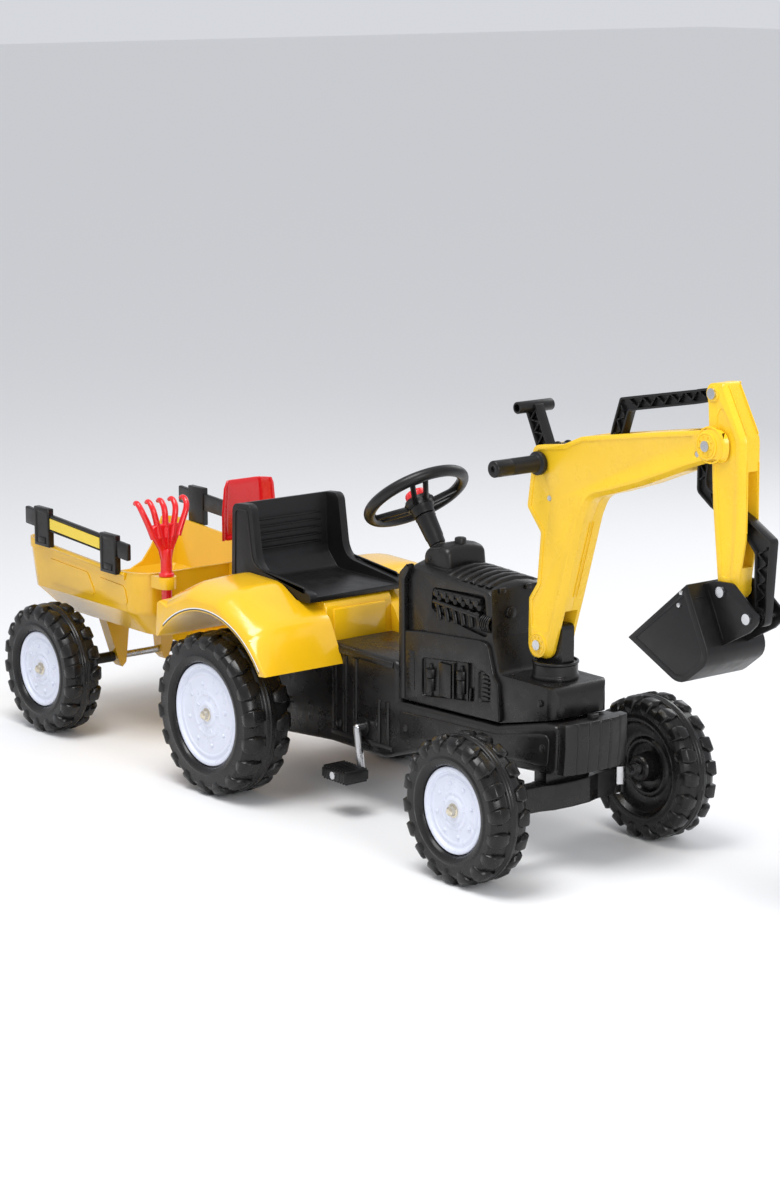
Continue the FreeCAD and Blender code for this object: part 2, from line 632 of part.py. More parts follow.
def stick():
    """Hollow stick with a slot front and back for the lower link and an open head for the upper one."""
    body = hollow_side(STICK_SIDE, STICK_HALF, 3.5, 3.8)
    body = body.cut(box(350, 400, -9, 9, 496, 628))
    body = body.cut(box(270, 340, -9, 9, 500, 722))
    body = body.cut(box(285, 309, -9, 9, 690, 746))
    body = body.cut(box(280, 322, -14.1, 14.1, 628, 690))
    for place in (ELBOW, STICK_TOP, BUCKET_PIVOT):
        body = body.cut(cross_rod(PIVOT_BOLT_R + 0.06, place, -30, 30))
    return body.removeSplitter()


def stick_bolts():
    return [through_bolt(PIVOT_BOLT_R, STICK_TOP, STICK_HALF + 0.3), through_bolt(PIVOT_BOLT_R, BUCKET_PIVOT, 27.4)]


BUCKET_SIDE = [(195, 377), (300, 327, 32), (358, 372, 24), (309, 471)]


def bucket():
    """Pressed scoop with two bracket plates on its back."""
    shell = side_plate(BUCKET_SIDE, -BUCKET_HALF, BUCKET_HALF)
    inside = [(180, 389), (201, 379), (301, 331.5, 29), (353, 373, 21), (307, 466), (290, 500)]
    shell = shell.cut(side_plate(inside, -BUCKET_HALF + 4, BUCKET_HALF - 4))
    for side in (-1, 1):
        low, high = sorted((side * 21.5, side * 26.5))
        plate = side_plate([(308.5, 467), (331, 476, 6), (366, 478, 10), (422, 436, 12), (400, 415, 8), (348.5, 388)],
                           low, high)
        shell = shell.fuse(plate)
    for place in (BUCKET_PIVOT, BUCKET_LINK_PIN):
        shell = shell.cut(cross_rod(PIVOT_BOLT_R + 0.06, place, -30, 30))
    return shell.removeSplitter()


def tub_section(x_low, x_high, half, z, front_r, rear_r):
    """One level of the tub as a closed wire."""
    corners = [(x_low, -half, rear_r), (x_high, -half, front_r), (x_high, half, front_r), (x_low, half, rear_r)]
    return outline(corners, lambda p: Vector(p.x, p.y, z))


def trailer_tub():
    """Tapered tub with a dipped tail, two axle brackets and the drawbar tongue."""
    outer = Part.makeLoft([tub_section(-1190, -884, 108, TUB_FLOOR, 40, 20),
                           tub_section(-1214, -872, 146, 232, 48, 22),
                           tub_section(TUB_REAR, TUB_FRONT, 154, TUB_TOP, 55, 25)], True, True)
    inner = Part.makeLoft([tub_section(-1186, -888, 104, TUB_FLOOR + 4, 36, 16),
                           tub_section(-1210, -876, 142, 234, 44, 18),
                           tub_section(TUB_REAR + 4, TUB_FRONT - 4, 150, TUB_TOP + 0.5, 51, 21)], True, True)
    tub = outer.cut(inner)
    rim_out = Part.makeLoft([tub_section(TUB_REAR, TUB_FRONT, 154, 300, 55, 25),
                             tub_section(TUB_REAR, TUB_FRONT, 154, TUB_TOP, 55, 25)], True, True)
    tub = tub.fuse(rim_out.cut(inner))
    top = side_plate([(-1300, 400), (-1300, 321.5), (-935, 301), (-800, 303), (-800, 400)], -200, 200)
    tub = tub.cut(top)
    dip = Part.makePolygon([Vector(-1235, y, z) for y, z in
                            ((-136, 330), (-119, 293), (-103, 267), (-82, 243), (-56, 232), (56, 232), (82, 243),
                             (103, 267), (119, 293), (136, 330), (-136, 330))])
    tub = tub.cut(Part.Face(dip).extrude(Vector(45, 0, 0)))
    tongue = floor_plate([(-900, -46), (-768, -24), (HITCH_X + 24, -24, 23), (HITCH_X + 24, 24, 23), (-768, 24),
                          (-900, 46)], 168, 189.5)
    tongue = tongue.fuse(box(-935, -880, -46, 46, 168, 191))
    tub = tub.fuse(tongue)
    for side in (-1, 1):
        face = Part.makePolygon([Vector(-1112, side * y, z) for y, z in
                                 ((28, 191.5), (38, 100), (46, 92), (52, 100), (82, 191.5), (28, 191.5))])
        tub = tub.fuse(Part.Face(face).extrude(Vector(24, 0, 0)))
    tub = tub.cut(cross_rod(AXLE_R, (TRAILER_WHEEL["x"], TRAILER_WHEEL["r"]), -90, 90))
    tub = tub.cut(upright(8.1, HITCH_X, 0, 150, 200))
    return tub.removeSplitter()


def holder_rings():
    """Two loops on the tub's front wall for the rake and the shovel."""
    rings = []
    for y in (RAKE_Y, SHOVEL_Y):
        ring = upright(16.0, HOLDER_X, y, RING_Z, RING_Z + 20)
        ring = ring.fuse(box(-869.5, HOLDER_X, y - 16, y + 16, RING_Z, RING_Z + 20))
        ring = ring.cut(tub_solid())
        rings.append(ring.cut(upright(10.5, HOLDER_X, y, RING_Z - 5, RING_Z + 30)))
    return rings


def tub_solid():
    """The tub's outer form as a full block, for seating what is fixed to it."""
    return Part.makeLoft([tub_section(-1214, -872, 146, 232, 48, 22),
                          tub_section(TUB_REAR, TUB_FRONT, 154, TUB_TOP, 55, 25)], True, True)


def side_rail(side):
    """Black board on two posts, clipped on the tub's rim."""
    pieces = []
    for x_low, x_high, z_top in ((-1172, -1127, 377), (-969, -923, 362)):
        low, high = sorted((side * 154.3, side * 166))
        pieces.append(box(x_low, x_high, low, high, 296 if x_low > -1000 else 310, z_top))
    low, high = sorted((side * 156, side * 163))
    board = side_plate([(-1204, 342, 3), (-890, 324, 3), (-890, 352, 3), (-1204, 372, 3)], low, high)
    rail = board.fuse(pieces)
    return rail.removeSplitter()


def rail_plate(side):
    """Plain yellow plate on the board between its posts."""
    low, high = sorted((side * 163.1, side * 164.6))
    return side_plate([(-1124, 343), (-972, 333), (-972, 351), (-1124, 361)], low, high)


def trailer_axle():
    return rod(AXLE_R, Vector(TRAILER_WHEEL["x"], -TRAILER_WHEEL["outer"] + 5.5, TRAILER_WHEEL["r"]),
               Vector(TRAILER_WHEEL["x"], TRAILER_WHEEL["outer"] - 5.5, TRAILER_WHEEL["r"]))


def axle_sleeves():
    sleeves = []
    for side in (-1, 1):
        start = Vector(TRAILER_WHEEL["x"], side * 58, TRAILER_WHEEL["r"])
        end = Vector(TRAILER_WHEEL["x"], side * 145.8, TRAILER_WHEEL["r"])
        sleeves.append(rod(9.0, start, end).cut(rod(AXLE_R, start, end)))
    return sleeves


def hitch_plate():
    """Steel tongue at the back of the body, under the drawbar."""
    plate = floor_plate([(-700, -30), (-700, 30), (HITCH_X, 22, 4), (HITCH_X - 22, 22, 20), (HITCH_X - 22, -22, 20),
                         (HITCH_X, -22, 4)], 158, 167.6)
    return plate.cut(upright(8.0, HITCH_X, 0, 150, 170))


def hitch_pin():
    pin = upright(8.0, HITCH_X, 0, 150, 192)
    return pin.fuse(upright(13.0, HITCH_X, 0, 189.9, 197)).removeSplitter()


def rake():
    """Red five-tine hand rake."""
    handle = upright(9.0, HOLDER_X, RAKE_Y, 214, 300.4).fuse(upright(13.0, HOLDER_X, RAKE_Y, 300.4, 306))
    shaft = upright(9.8, HOLDER_X, RAKE_Y, 300.4, 345)
    palm_points = [(RAKE_Y - 9.5, 335), (RAKE_Y + 9.5, 335), (RAKE_Y + 36, 384), (RAKE_Y - 36, 384)]
    palm = Part.Face(Part.makePolygon([Vector(HOLDER_X - 5, y, z) for y, z in palm_points + palm_points[:1]]))
    palm = palm.extrude(Vector(10, 0, 0))
    parts = [shaft, palm]
    for index in range(5):
        spread = (index - 2) / 2.0
        root = Vector(HOLDER_X, RAKE_Y + spread * 30, 378)
        knee = Vector(HOLDER_X - 2, RAKE_Y + spread * 42, 412)
        tip = Vector(HOLDER_X - 20, RAKE_Y + spread * 45, 426)
        parts += [rod(5.0, root, knee), Part.makeSphere(5.0, knee), rod(5.0, knee, tip), Part.makeSphere(5.0, tip)]
    return handle.fuse(parts).removeSplitter()


def shovel():
    """Red hand shovel, blade up."""
    handle = upright(9.0, HOLDER_X, SHOVEL_Y, 214, 300.4).fuse(upright(13.0, HOLDER_X, SHOVEL_Y, 300.4, 306))
    shaft = upright(9.8, HOLDER_X, SHOVEL_Y, 300.4, 352)
    plan = [(HOLDER_X + 16, SHOVEL_Y - 56), (HOLDER_X + 12, SHOVEL_Y - 56), (HOLDER_X - 7, SHOVEL_Y - 38, 12),
            (HOLDER_X - 7, SHOVEL_Y + 38, 12), (HOLDER_X + 12, SHOVEL_Y + 56), (HOLDER_X + 16, SHOVEL_Y + 56),
            (HOLDER_X - 3, SHOVEL_Y + 36, 10), (HOLDER_X - 3, SHOVEL_Y - 36, 10)]
    blade = floor_plate(plan, 348, 446)
    base = floor_plate([(HOLDER_X - 7, SHOVEL_Y - 38), (HOLDER_X + 4, SHOVEL_Y - 44), (HOLDER_X + 4, SHOVEL_Y + 44),
                        (HOLDER_X - 7, SHOVEL_Y + 38)], 346, 352)
    return handle.fuse([shaft, blade, base]).removeSplitter()


def tractor():
    save("chassis_shell", chassis_shell())
    save("hood_cover", hood_cover())
    save("bumper_grille", bumper_grille())
    save("front_axle_beam", front_axle_beam())
    save("kingpins", *kingpins())
    save("seat_body", seat_body())
    save("seat", seat())
    save("rear_axle", rear_axle())
    rear_bushes = bearing((REAR_WHEEL["x"], REAR_WHEEL["r"]), AXLE_R + 0.06)
    crank_bushes = bearing((CRANK_X, CRANK_Z), AXLE_R + 0.06)
    save("axle_bushes", *rear_bushes, *crank_bushes)
    save("chain", chain())
    save("crank", crank())
    save("hitch_plate", hitch_plate())
    save("hitch_pin", hitch_pin())
    for name, side in (("right", -1), ("left", 1)):
        save("knuckle_" + name, knuckle(side))
        save("pedal_" + name, pedal(side))


def steering():
    save("tie_rod", tie_rod())
    save("steering_shaft", steering_shaft())
    save("column_sleeve", column_sleeve())
    save("steering_wheel", steering_wheel())
    save("horn_button", horn_button())


def digger():
    save("slew_ring", slew_ring())
    save("turret_post", turret_post())
    save("boom_right", boom_half(-1))
    save("boom_left", boom_half(1))
    save("boom_bolts", *boom_bolts())
    save("grip_tube", grip_tube())
    save("t_lever", t_lever())
    save("lever_pin", lever_pin())
    save("top_link", top_link())
    save("lower_link", lower_link())
    save("stick", stick())
    save("stick_bolts", *stick_bolts())
    save("bucket", bucket())
    save("bucket_bolt", through_bolt(PIVOT_BOLT_R, BUCKET_LINK_PIN, 26.8))


def trailer():
    save("trailer_tub", trailer_tub())
    save("holder_rings", *holder_rings())
    save("trailer_axle", trailer_axle())
    save("axle_sleeves", *axle_sleeves())
    for name, side in (("right", -1), ("left", 1)):
        save("side_rail_" + name, side_rail(side))
    save("rail_plates", rail_plate(-1), rail_plate(1))
    save("rake", rake())
    save("shovel", shovel())


wheels()
tractor()
steering()
digger()
trailer()
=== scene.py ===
import math

import bpy
from mathutils import Matrix, Vector


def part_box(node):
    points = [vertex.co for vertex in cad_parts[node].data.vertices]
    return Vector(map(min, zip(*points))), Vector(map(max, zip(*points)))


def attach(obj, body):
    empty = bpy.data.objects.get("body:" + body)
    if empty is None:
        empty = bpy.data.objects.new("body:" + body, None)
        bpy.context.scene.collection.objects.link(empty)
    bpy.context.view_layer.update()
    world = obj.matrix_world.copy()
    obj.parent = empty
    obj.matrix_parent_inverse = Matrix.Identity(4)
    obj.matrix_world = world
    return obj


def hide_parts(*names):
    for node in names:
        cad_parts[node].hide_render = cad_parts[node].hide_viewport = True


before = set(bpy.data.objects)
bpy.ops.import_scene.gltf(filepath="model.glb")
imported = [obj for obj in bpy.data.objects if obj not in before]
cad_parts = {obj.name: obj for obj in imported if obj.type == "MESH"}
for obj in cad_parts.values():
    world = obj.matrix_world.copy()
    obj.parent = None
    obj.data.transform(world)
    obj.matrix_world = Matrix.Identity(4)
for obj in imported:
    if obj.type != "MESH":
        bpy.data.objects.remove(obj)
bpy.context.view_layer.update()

# ------------------------------
# Tyres: six hollow rings of hard black polyethylene, blow-moulded with chunky lugs that alternate
# on the two sides of a smooth middle band. The rear pair is larger.
FRONT_AXLE_X = (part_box("tyre_front_right")[0].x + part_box("tyre_front_right")[1].x) / 2
MIRROR = Matrix.Scale(-1, 4, (0, 1, 0))
WHEELS = (("front_right", "front_wheel_right"), ("front_left", "front_wheel_left"),
    ("trailer_right", "trailer_wheel_right"), ("trailer_left", "trailer_wheel_left"),
    ("rear_right", "rear_drive"), ("rear_left", "rear_drive"))
SMALL_DISC, LARGE_DISC = 64.5, 82.5
LUGS_PER_SIDE = 18
DISC_SET_BACK = 8.4


def mm(*values):
    """Millimetres to metres, as a vector when there are three."""
    scaled = [v / 1000 for v in values]
    return Vector(scaled) if len(scaled) == 3 else scaled[0]


def from_axle(x, y, z):
    """A place counted in millimetres from the ground under the front axle."""
    return Vector((FRONT_AXLE_X + x / 1000, y / 1000, z / 1000))


def surface_group():
    """Shader group for moulded plastic: faint cloudiness, fine grain and soft rubbed patches."""
    group = bpy.data.node_groups.new("moulded surface", "ShaderNodeTree")
    sockets = group.interface
    sockets.new_socket("Colour", in_out="INPUT", socket_type="NodeSocketColor")
    for name, value in (("Cloudiness", 0.1), ("Roughness", 0.4), ("Rubbing", 0.1), ("Grain size", 900.0),
            ("Grain depth", 0.1), ("Waviness", 0.1)):
        sockets.new_socket(name, in_out="INPUT", socket_type="NodeSocketFloat").default_value = value
    sockets.new_socket("Colour", in_out="OUTPUT", socket_type="NodeSocketColor")
    sockets.new_socket("Roughness", in_out="OUTPUT", socket_type="NodeSocketFloat")
    sockets.new_socket("Normal", in_out="OUTPUT", socket_type="NodeSocketVector")
    nodes, links = group.nodes, group.links

    def add(kind, values, feeds, **settings):
        """A node with its plain values, and its sockets fed by other nodes."""
        node = nodes.new("ShaderNode" + kind)
        for key, value in settings.items():
            setattr(node, key, value)
        for socket, value in values.items():
            node.inputs[socket].default_value = value
        for socket, source in feeds.items():
            links.new(source, node.inputs[socket])
        return node.outputs

    given = nodes.new("NodeGroupInput").outputs
    place = add("TexCoord", {}, {})["Object"]
    clouds = add("TexNoise", {"Scale": 14.0, "Detail": 4.0}, {"Vector": place})
    swing = add("MapRange", {"From Min": 0.3, "From Max": 0.7, "To Min": -1.0}, {"Value": clouds["Fac"]})
    amount = add("Math", {2: 1.0}, {0: swing["Result"], 1: given["Cloudiness"]}, operation="MULTIPLY_ADD")
    tone = add("HueSaturation", {}, {"Color": given["Colour"], "Value": amount[0]})

    rubs = add("TexNoise", {"Scale": 34.0, "Detail": 6.0, "Roughness": 0.7}, {"Vector": place})
    patches = add("MapRange", {"From Min": 0.42, "From Max": 0.68, "To Min": -0.5}, {"Value": rubs["Fac"]})
    rough = add("Math", {}, {0: patches["Result"], 1: given["Rubbing"], 2: given["Roughness"]},
        operation="MULTIPLY_ADD", use_clamp=True)

    waves = add("TexNoise", {"Scale": 22.0}, {"Vector": place})
    soft = add("Bump", {"Distance": 0.002}, {"Strength": given["Waviness"], "Height": waves["Fac"]})
    grain = add("TexNoise", {"Detail": 3.0}, {"Scale": given["Grain size"], "Vector": place})
    fine = add("Bump", {"Distance": 0.0004}, {"Strength": given["Grain depth"], "Height": grain["Fac"],
        "Normal": soft["Normal"]})
    result = nodes.new("NodeGroupOutput").inputs
    for socket, source in (("Colour", tone["Color"]), ("Roughness", rough[0]), ("Normal", fine["Normal"])):
        links.new(source, result[socket])
    return group


MOULDED = surface_group()


def moulded_plastic(name, colour, roughness, coat=0.0, cloudiness=0.06, rubbing=0.08, grain=0.10,
        grain_size=900.0, waviness=0.12, metallic=0.0, gloss=0.5):
    """A finish made with the moulded surface group; the shader and its plain values stay here."""
    material = bpy.data.materials.new(name)
    material.use_nodes = True
    nodes, links = material.node_tree.nodes, material.node_tree.links
    shader = nodes["Principled BSDF"]
    effect = nodes.new("ShaderNodeGroup")
    effect.node_tree = MOULDED
    for socket, value in (("Colour", (*colour, 1.0)), ("Cloudiness", cloudiness), ("Roughness", roughness),
            ("Rubbing", rubbing), ("Grain depth", grain), ("Grain size", grain_size), ("Waviness", waviness)):
        effect.inputs[socket].default_value = value
    for socket, value in (("Coat Weight", coat), ("Coat Roughness", 0.12), ("Metallic", metallic),
            ("Specular IOR Level", gloss)):
        shader.inputs[socket].default_value = value
    for made, socket in (("Colour", "Base Color"), ("Roughness", "Roughness"), ("Normal", "Normal")):
        links.new(effect.outputs[made], shader.inputs[socket])
    return material


tyre_black = moulded_plastic("tyre black", (0.0075, 0.0070, 0.0070), 0.28, grain=0.08, waviness=0.22,
    rubbing=0.12, gloss=0.34)


def begin(kind, **how):
    """Deselect all, add a primitive at the origin and give back its object."""
    bpy.ops.object.select_all(action="DESELECT")
    getattr(bpy.ops.mesh, "primitive_" + kind + "_add")(**how)
    return bpy.context.object


def pick(piece):
    """Select one object and nothing else."""
    bpy.ops.object.select_all(action="DESELECT")
    bpy.context.view_layer.objects.active = piece
    piece.select_set(True)


def edit(piece):
    """Open one object in edit mode with all of it selected."""
    pick(piece)
    bpy.ops.object.mode_set(mode="EDIT")
    bpy.ops.mesh.select_all(action="SELECT")


def close_edit():
    """Merge what touches, turn faces outwards and leave edit mode."""
    bpy.ops.mesh.select_all(action="SELECT")
    bpy.ops.mesh.remove_doubles(threshold=0.00002)
    bpy.ops.mesh.normals_make_consistent(inside=False)
    bpy.ops.object.mode_set(mode="OBJECT")


def finish_with(piece, kind, **settings):
    """Add a modifier, set it and apply it."""
    pick(piece)
    modifier = piece.modifiers.new(kind.lower(), kind)
    for key, value in settings.items():
        setattr(modifier, key, value)
    bpy.ops.object.modifier_apply(modifier=modifier.name)


def soften(piece, width, segments=2, angle=32):
    """Round the sharp edges by a width in millimetres and shade the rest smooth."""
    finish_with(piece, "BEVEL", width=width / 1000, segments=segments, limit_method="ANGLE",
        angle_limit=math.radians(angle), use_clamp_overlap=True, harden_normals=False)
    smooth(piece)


def smooth(piece, angle=34):
    """Shade a piece smooth across edges flatter than an angle in degrees."""
    pick(piece)
    bpy.ops.object.shade_smooth_by_angle(angle=math.radians(angle))


def spun(name, profile, steps=96):
    """Turn a closed (radius, y) outline, in millimetres, about the Y axis through the origin."""
    piece = begin("circle", vertices=len(profile), fill_type="NOTHING")
    piece.name = name
    for vertex, (radius, y) in zip(piece.data.vertices, profile):
        vertex.co = (radius / 1000, y / 1000, 0)
    edit(piece)
    bpy.ops.mesh.spin(steps=steps, angle=math.tau, center=(0, 0, 0), axis=(0, 1, 0))
    close_edit()
    return piece


def joined(name, pieces):
    """Join objects into one and name it."""
    bpy.ops.object.select_all(action="DESELECT")
    for piece in pieces:
        piece.select_set(True)
    bpy.context.view_layer.objects.active = pieces[0]
    bpy.ops.object.join()
    result = bpy.context.object
    result.name = name
    return result


def copied(piece, matrix):
    """A copy with its own mesh, moved by a matrix and turned right side out again if mirrored."""
    twin = piece.copy()
    twin.data = piece.data.copy()
    bpy.context.collection.objects.link(twin)
    twin.data.transform(matrix)
    if matrix.determinant() < 0:
        twin.data.flip_normals()
    return twin


def dress(piece, material, body, slot, *nodes):
    """Give a piece its finish and its body, and hide the CAD nodes it stands for. The slot is not used."""
    piece.data.materials.clear()
    piece.data.materials.append(material)
    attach(piece, body)
    if nodes:
        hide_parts(*nodes)


def assembled(name, parts, angle, *dressing):
    """Join the parts of a piece, shade it and dress it."""
    piece = joined(name, parts)
    smooth(piece, angle)
    dress(piece, *dressing)


def tyre_lug(radius, half):
    """One lug: a bar that climbs the side wall, turns over the shoulder and narrows to the middle band."""
    stations = [(0.16 * half, radius - 7.5, 5.5), (0.24 * half, radius - 1.6, 8.5),
        (0.46 * half, radius - 0.3, 12.0), (0.76 * half, radius - 1.4, 13.2), (0.93 * half, radius - 6.5, 12.8),
        (1.0 * half, radius - 13.0, 11.4), (0.985 * half, radius - 21.0, 8.8),
        (0.93 * half, radius - 26.0, 5.0)]
    across = ((-1.0, 8.0), (-0.74, 0.0), (0.74, 0.0), (1.0, 8.0))
    lug = begin("grid", x_subdivisions=len(stations) - 1, y_subdivisions=3)
    centre = Vector((0.45 * half, radius - 16.0))
    spread = radius / 110.0
    for index, vertex in enumerate(lug.data.vertices):
        along, side = index % len(stations), index // len(stations)
        y, top, wide = stations[along]
        inward = (centre - Vector((y, top))).normalized() * across[side][1]
        slant = 5.0 * y / half
        vertex.co = mm(across[side][0] * wide * spread + slant, -(y + inward.x), top + inward.y)
    edit(lug)
    bpy.ops.mesh.select_all(action="DESELECT")
    bpy.ops.mesh.select_non_manifold()
    bpy.ops.mesh.edge_face_add()
    close_edit()
    soften(lug, 1.3, segments=2, angle=25)
    return lug


def tyre(radius, width, disc):
    """Whole tyre about the origin, its outer face towards -Y."""
    half = width / 2
    crown = radius - 6.0
    profile = [(8, -half + 27), (disc - 2, -half + 22), (disc + 0.5, -half + 19), (disc + 1, -half + 8),
        (disc + 4, -half + 3.5), (disc + 8, -half + 2.0), (disc + 12, -half + 1.2), (disc + 16, -half + 2.6),
        (radius - 17, -half + 1.5), (radius - 11.5, -half + 5), (crown - 1.5, -half + 12),
        (crown, -half * 0.50), (crown, -half * 0.26), (crown + 3.4, -half * 0.21), (crown + 4.4, -half * 0.12),
        (crown + 4.4, -2.4), (crown + 5.6, -1.4), (crown + 5.6, 1.4), (crown + 4.4, 2.4),
        (crown + 4.4, half * 0.12), (crown + 3.4, half * 0.21), (crown, half * 0.26), (crown, half * 0.50),
        (crown - 1.5, half - 12), (radius - 11.5, half - 5), (radius - 17, half - 1.5), (disc + 18, half - 3.0),
        (disc + 13, half - 1.5), (disc + 8, half - 3.5), (disc + 4, half - 12), (disc - 6, half - 19),
        (disc - 18, half - 22), (disc - 21, half - 18), (disc - 26, half - 18), (disc - 29, half - 24),
        (23, half - 27), (20, half - 6), (17, half - 2), (8, half - 2)]
    ring = spun("tyre ring", profile)
    soften(ring, 1.2, segments=2, angle=24)
    lug = tyre_lug(radius, half)
    parts = [ring]
    for index in range(LUGS_PER_SIDE):
        turn = Matrix.Rotation(math.tau * index / LUGS_PER_SIDE, 4, "Y")
        offset = Matrix.Rotation(math.tau * (index + 0.5) / LUGS_PER_SIDE, 4, "Y")
        parts.append(copied(lug, turn))
        parts.append(copied(lug, offset @ MIRROR @ Matrix.Scale(-1, 4, (1, 0, 0))))
    bpy.data.objects.remove(lug)
    whole = joined("tyre", parts)
    smooth(whole)
    return whole


def mounted(piece, name, node):
    """A copy of a wheel piece in its place on the axle; on the left it is mirrored."""
    low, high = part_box(node)
    middle = (low + high) / 2
    side = MIRROR if middle.y > 0 else Matrix.Identity(4)
    twin = copied(piece, Matrix.Translation(middle) @ side)
    twin.name = name
    return twin


small_tyre = tyre(109.9, 68.0, SMALL_DISC)
large_tyre = tyre(130.4, 87.0, LARGE_DISC)
for place, body in WHEELS:
    model = large_tyre if "rear_" in place else small_tyre
    dress(mounted(model, "lugged_tyre_" + place, "tyre_" + place), tyre_black, body, "tyre_black",
        "tyre_" + place)
bpy.data.objects.remove(small_tyre)
bpy.data.objects.remove(large_tyre)

# ------------------------------
# Wheel discs: cool white polypropylene, injection-moulded with stepped rings, a ring of small studs
# and short ribs round the hub, pressed into the tyre's face.
disc_white = moulded_plastic("disc white", (0.70, 0.73, 0.84), 0.30, coat=0.15, cloudiness=0.03, grain=0.03,
    waviness=0.10, rubbing=0.06)


def wheel_disc(disc):
    """Disc about the origin facing -Y; y counts inwards from its rim."""
    profile = [(6.2, 14), (disc - 0.4, 9), (disc - 0.4, 1.2), (disc - 1.6, 0), (disc - 6.0, 0),
        (disc - 8.0, 1.6), (disc - 9.0, 3.8), (disc - 12, 4.4), (disc - 14, 3.2), (disc - 17, 2.8),
        (disc - 19, 4.2), (disc * 0.46, 3.4), (disc * 0.43, 2.2), (disc * 0.39, 2.2), (disc * 0.36, 3.4),
        (21, 3.2), (19.5, 1.6), (15.5, 1.0), (13.5, 2.2), (6.2, 2.4)]
    parts = [spun("disc", profile)]
    soften(parts[0], 0.8, segments=2, angle=20)
    for index in range(8):
        stud = begin("uv_sphere", segments=12, ring_count=8, radius=1)
        angle = math.tau * (index + 0.3) / 8
        stud.data.transform(Matrix.Translation(mm(math.cos(angle) * disc * 0.60, 3.6,
            math.sin(angle) * disc * 0.60)) @ Matrix.Diagonal((0.0036, 0.0022, 0.0036, 1)))
        parts.append(stud)
    for index in range(5):
        rib = begin("cube", size=1)
        angle = math.tau * (index + 0.1) / 5
        rib.data.transform(Matrix.Rotation(-angle, 4, "Y") @ Matrix.Translation(mm(disc * 0.33, 3.1,
            0)) @ Matrix.Diagonal((disc * 0.10 / 1000, 0.0026, 0.0024, 1)))
        soften(rib, 0.7)
        parts.append(rib)
    whole = joined("disc", parts)
    smooth(whole, 40)
    return whole


for place, body in WHEELS:
    low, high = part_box("tyre_" + place)
    side = 1 if low.y > 0 else -1
    face = (high.y if side > 0 else low.y) - side * mm(DISC_SET_BACK)
    disc = wheel_disc(LARGE_DISC if "rear_" in place else SMALL_DISC)
    centre = (low + high) / 2
    flip = MIRROR if side > 0 else Matrix.Identity(4)
    disc.data.transform(Matrix.Translation((centre.x, face, centre.z)) @ flip)
    if side > 0:
        disc.data.flip_normals()
    disc.name = "ringed_disc_" + place
    nodes = ["wheel_discs_rear"] if "rear_" in place else ["wheel_disc_" + place]
    dress(disc, disc_white, body, "disc_white", *nodes)

# ------------------------------
# Axle ends: steel rods closed by pressed dome nuts, nickel plated and slightly brassy. Their CAD
# shapes are right, so they only get a finish.
nickel = moulded_plastic("dome nickel", (0.66, 0.60, 0.48), 0.20, metallic=1.0, cloudiness=0.12, grain=0.03,
    rubbing=0.12, waviness=0.3)
steel = moulded_plastic("axle steel", (0.56, 0.56, 0.57), 0.28, metallic=1.0, cloudiness=0.08, grain=0.05,
    grain_size=1600.0, rubbing=0.18)


def finish_nodes(material, *names):
    """A new finish for CAD nodes whose shape is right."""
    for name in names:
        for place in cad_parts[name].material_slots:
            place.material = material


finish_nodes(nickel, "hub_nut_front_left", "hub_nut_front_right", "hub_nuts_rear", "hub_nuts_trailer")
finish_nodes(steel, "rear_axle", "trailer_axle", "knuckle_left", "knuckle_right", "chain", "hitch_plate",
    "hitch_pin", "kingpins", "crank", "steering_shaft")

# ------------------------------
# Lower body: the long black blow-moulded tray under everything, from the nose to the hitch, with a
# raised chain box behind the foot room. Its two walls carry pressed ribs and screw pockets.
body_black = moulded_plastic("body black", (0.0070, 0.0062, 0.0060), 0.33, grain=0.14, waviness=0.40,
    rubbing=0.14, gloss=0.40)


def rounded(points, steps=5):
    """Outline points in millimetres, where a third value rounds that corner with an arc."""
    result = []
    count = len(points)
    for index, point in enumerate(points):
        here = Vector(point[:2])
        if len(point) < 3:
            result.append(here)
            continue
        before = (Vector(points[index - 1][:2]) - here).normalized()
        after = (Vector(points[(index + 1) % count][:2]) - here).normalized()
        half = before.angle(after) / 2
        middle = (before + after).normalized()
        centre = here + middle * (point[2] / math.sin(half))
        first = here + before * (point[2] / math.tan(half)) - centre
        sweep = first.angle_signed(here + after * (point[2] / math.tan(half)) - centre)
        for step in range(steps + 1):
            turn = Matrix.Rotation(-sweep * step / steps, 2)
            result.append(centre + turn @ first)
    return result


def plate(name, points, levels, to_place):
    """A flat outline drawn at the first level and pulled through the others; to_place(u, v, level)."""
    corners = rounded(points)
    piece = begin("circle", vertices=len(corners), fill_type="NGON")
    piece.name = name
    for vertex, corner in zip(piece.data.vertices, corners):
        vertex.co = to_place(corner.x, corner.y, levels[0])
    edit(piece)
    for last, level in zip(levels, levels[1:]):
        step = to_place(0, 0, level) - to_place(0, 0, last)
        bpy.ops.mesh.extrude_region_move(TRANSFORM_OT_translate={"value": step})
    close_edit()
    return piece


def side_plate(name, points, levels):
    """Outline in the X-Z plane, counted from the front axle, pulled along Y."""
    return plate(name, points, levels, lambda u, v, level: from_axle(u, level, v))


def floor_plate(name, points, levels):
    """Outline in the X-Y plane, pulled up along Z."""
    return plate(name, points, levels, lambda u, v, level: from_axle(u, v, level))


def block(x_low, x_high, y_low, y_high, z_low, z_high, rounding):
    """A moulded block between two corners, with rounded edges."""
    piece = begin("cube", size=1)
    middle = from_axle((x_low + x_high) / 2, (y_low + y_high) / 2, (z_low + z_high) / 2)
    size = mm(x_high - x_low, y_high - y_low, z_high - z_low)
    piece.data.transform(Matrix.Translation(middle) @ Matrix.Diagonal((*size, 1)))
    if rounding:
        soften(piece, rounding)
    return piece


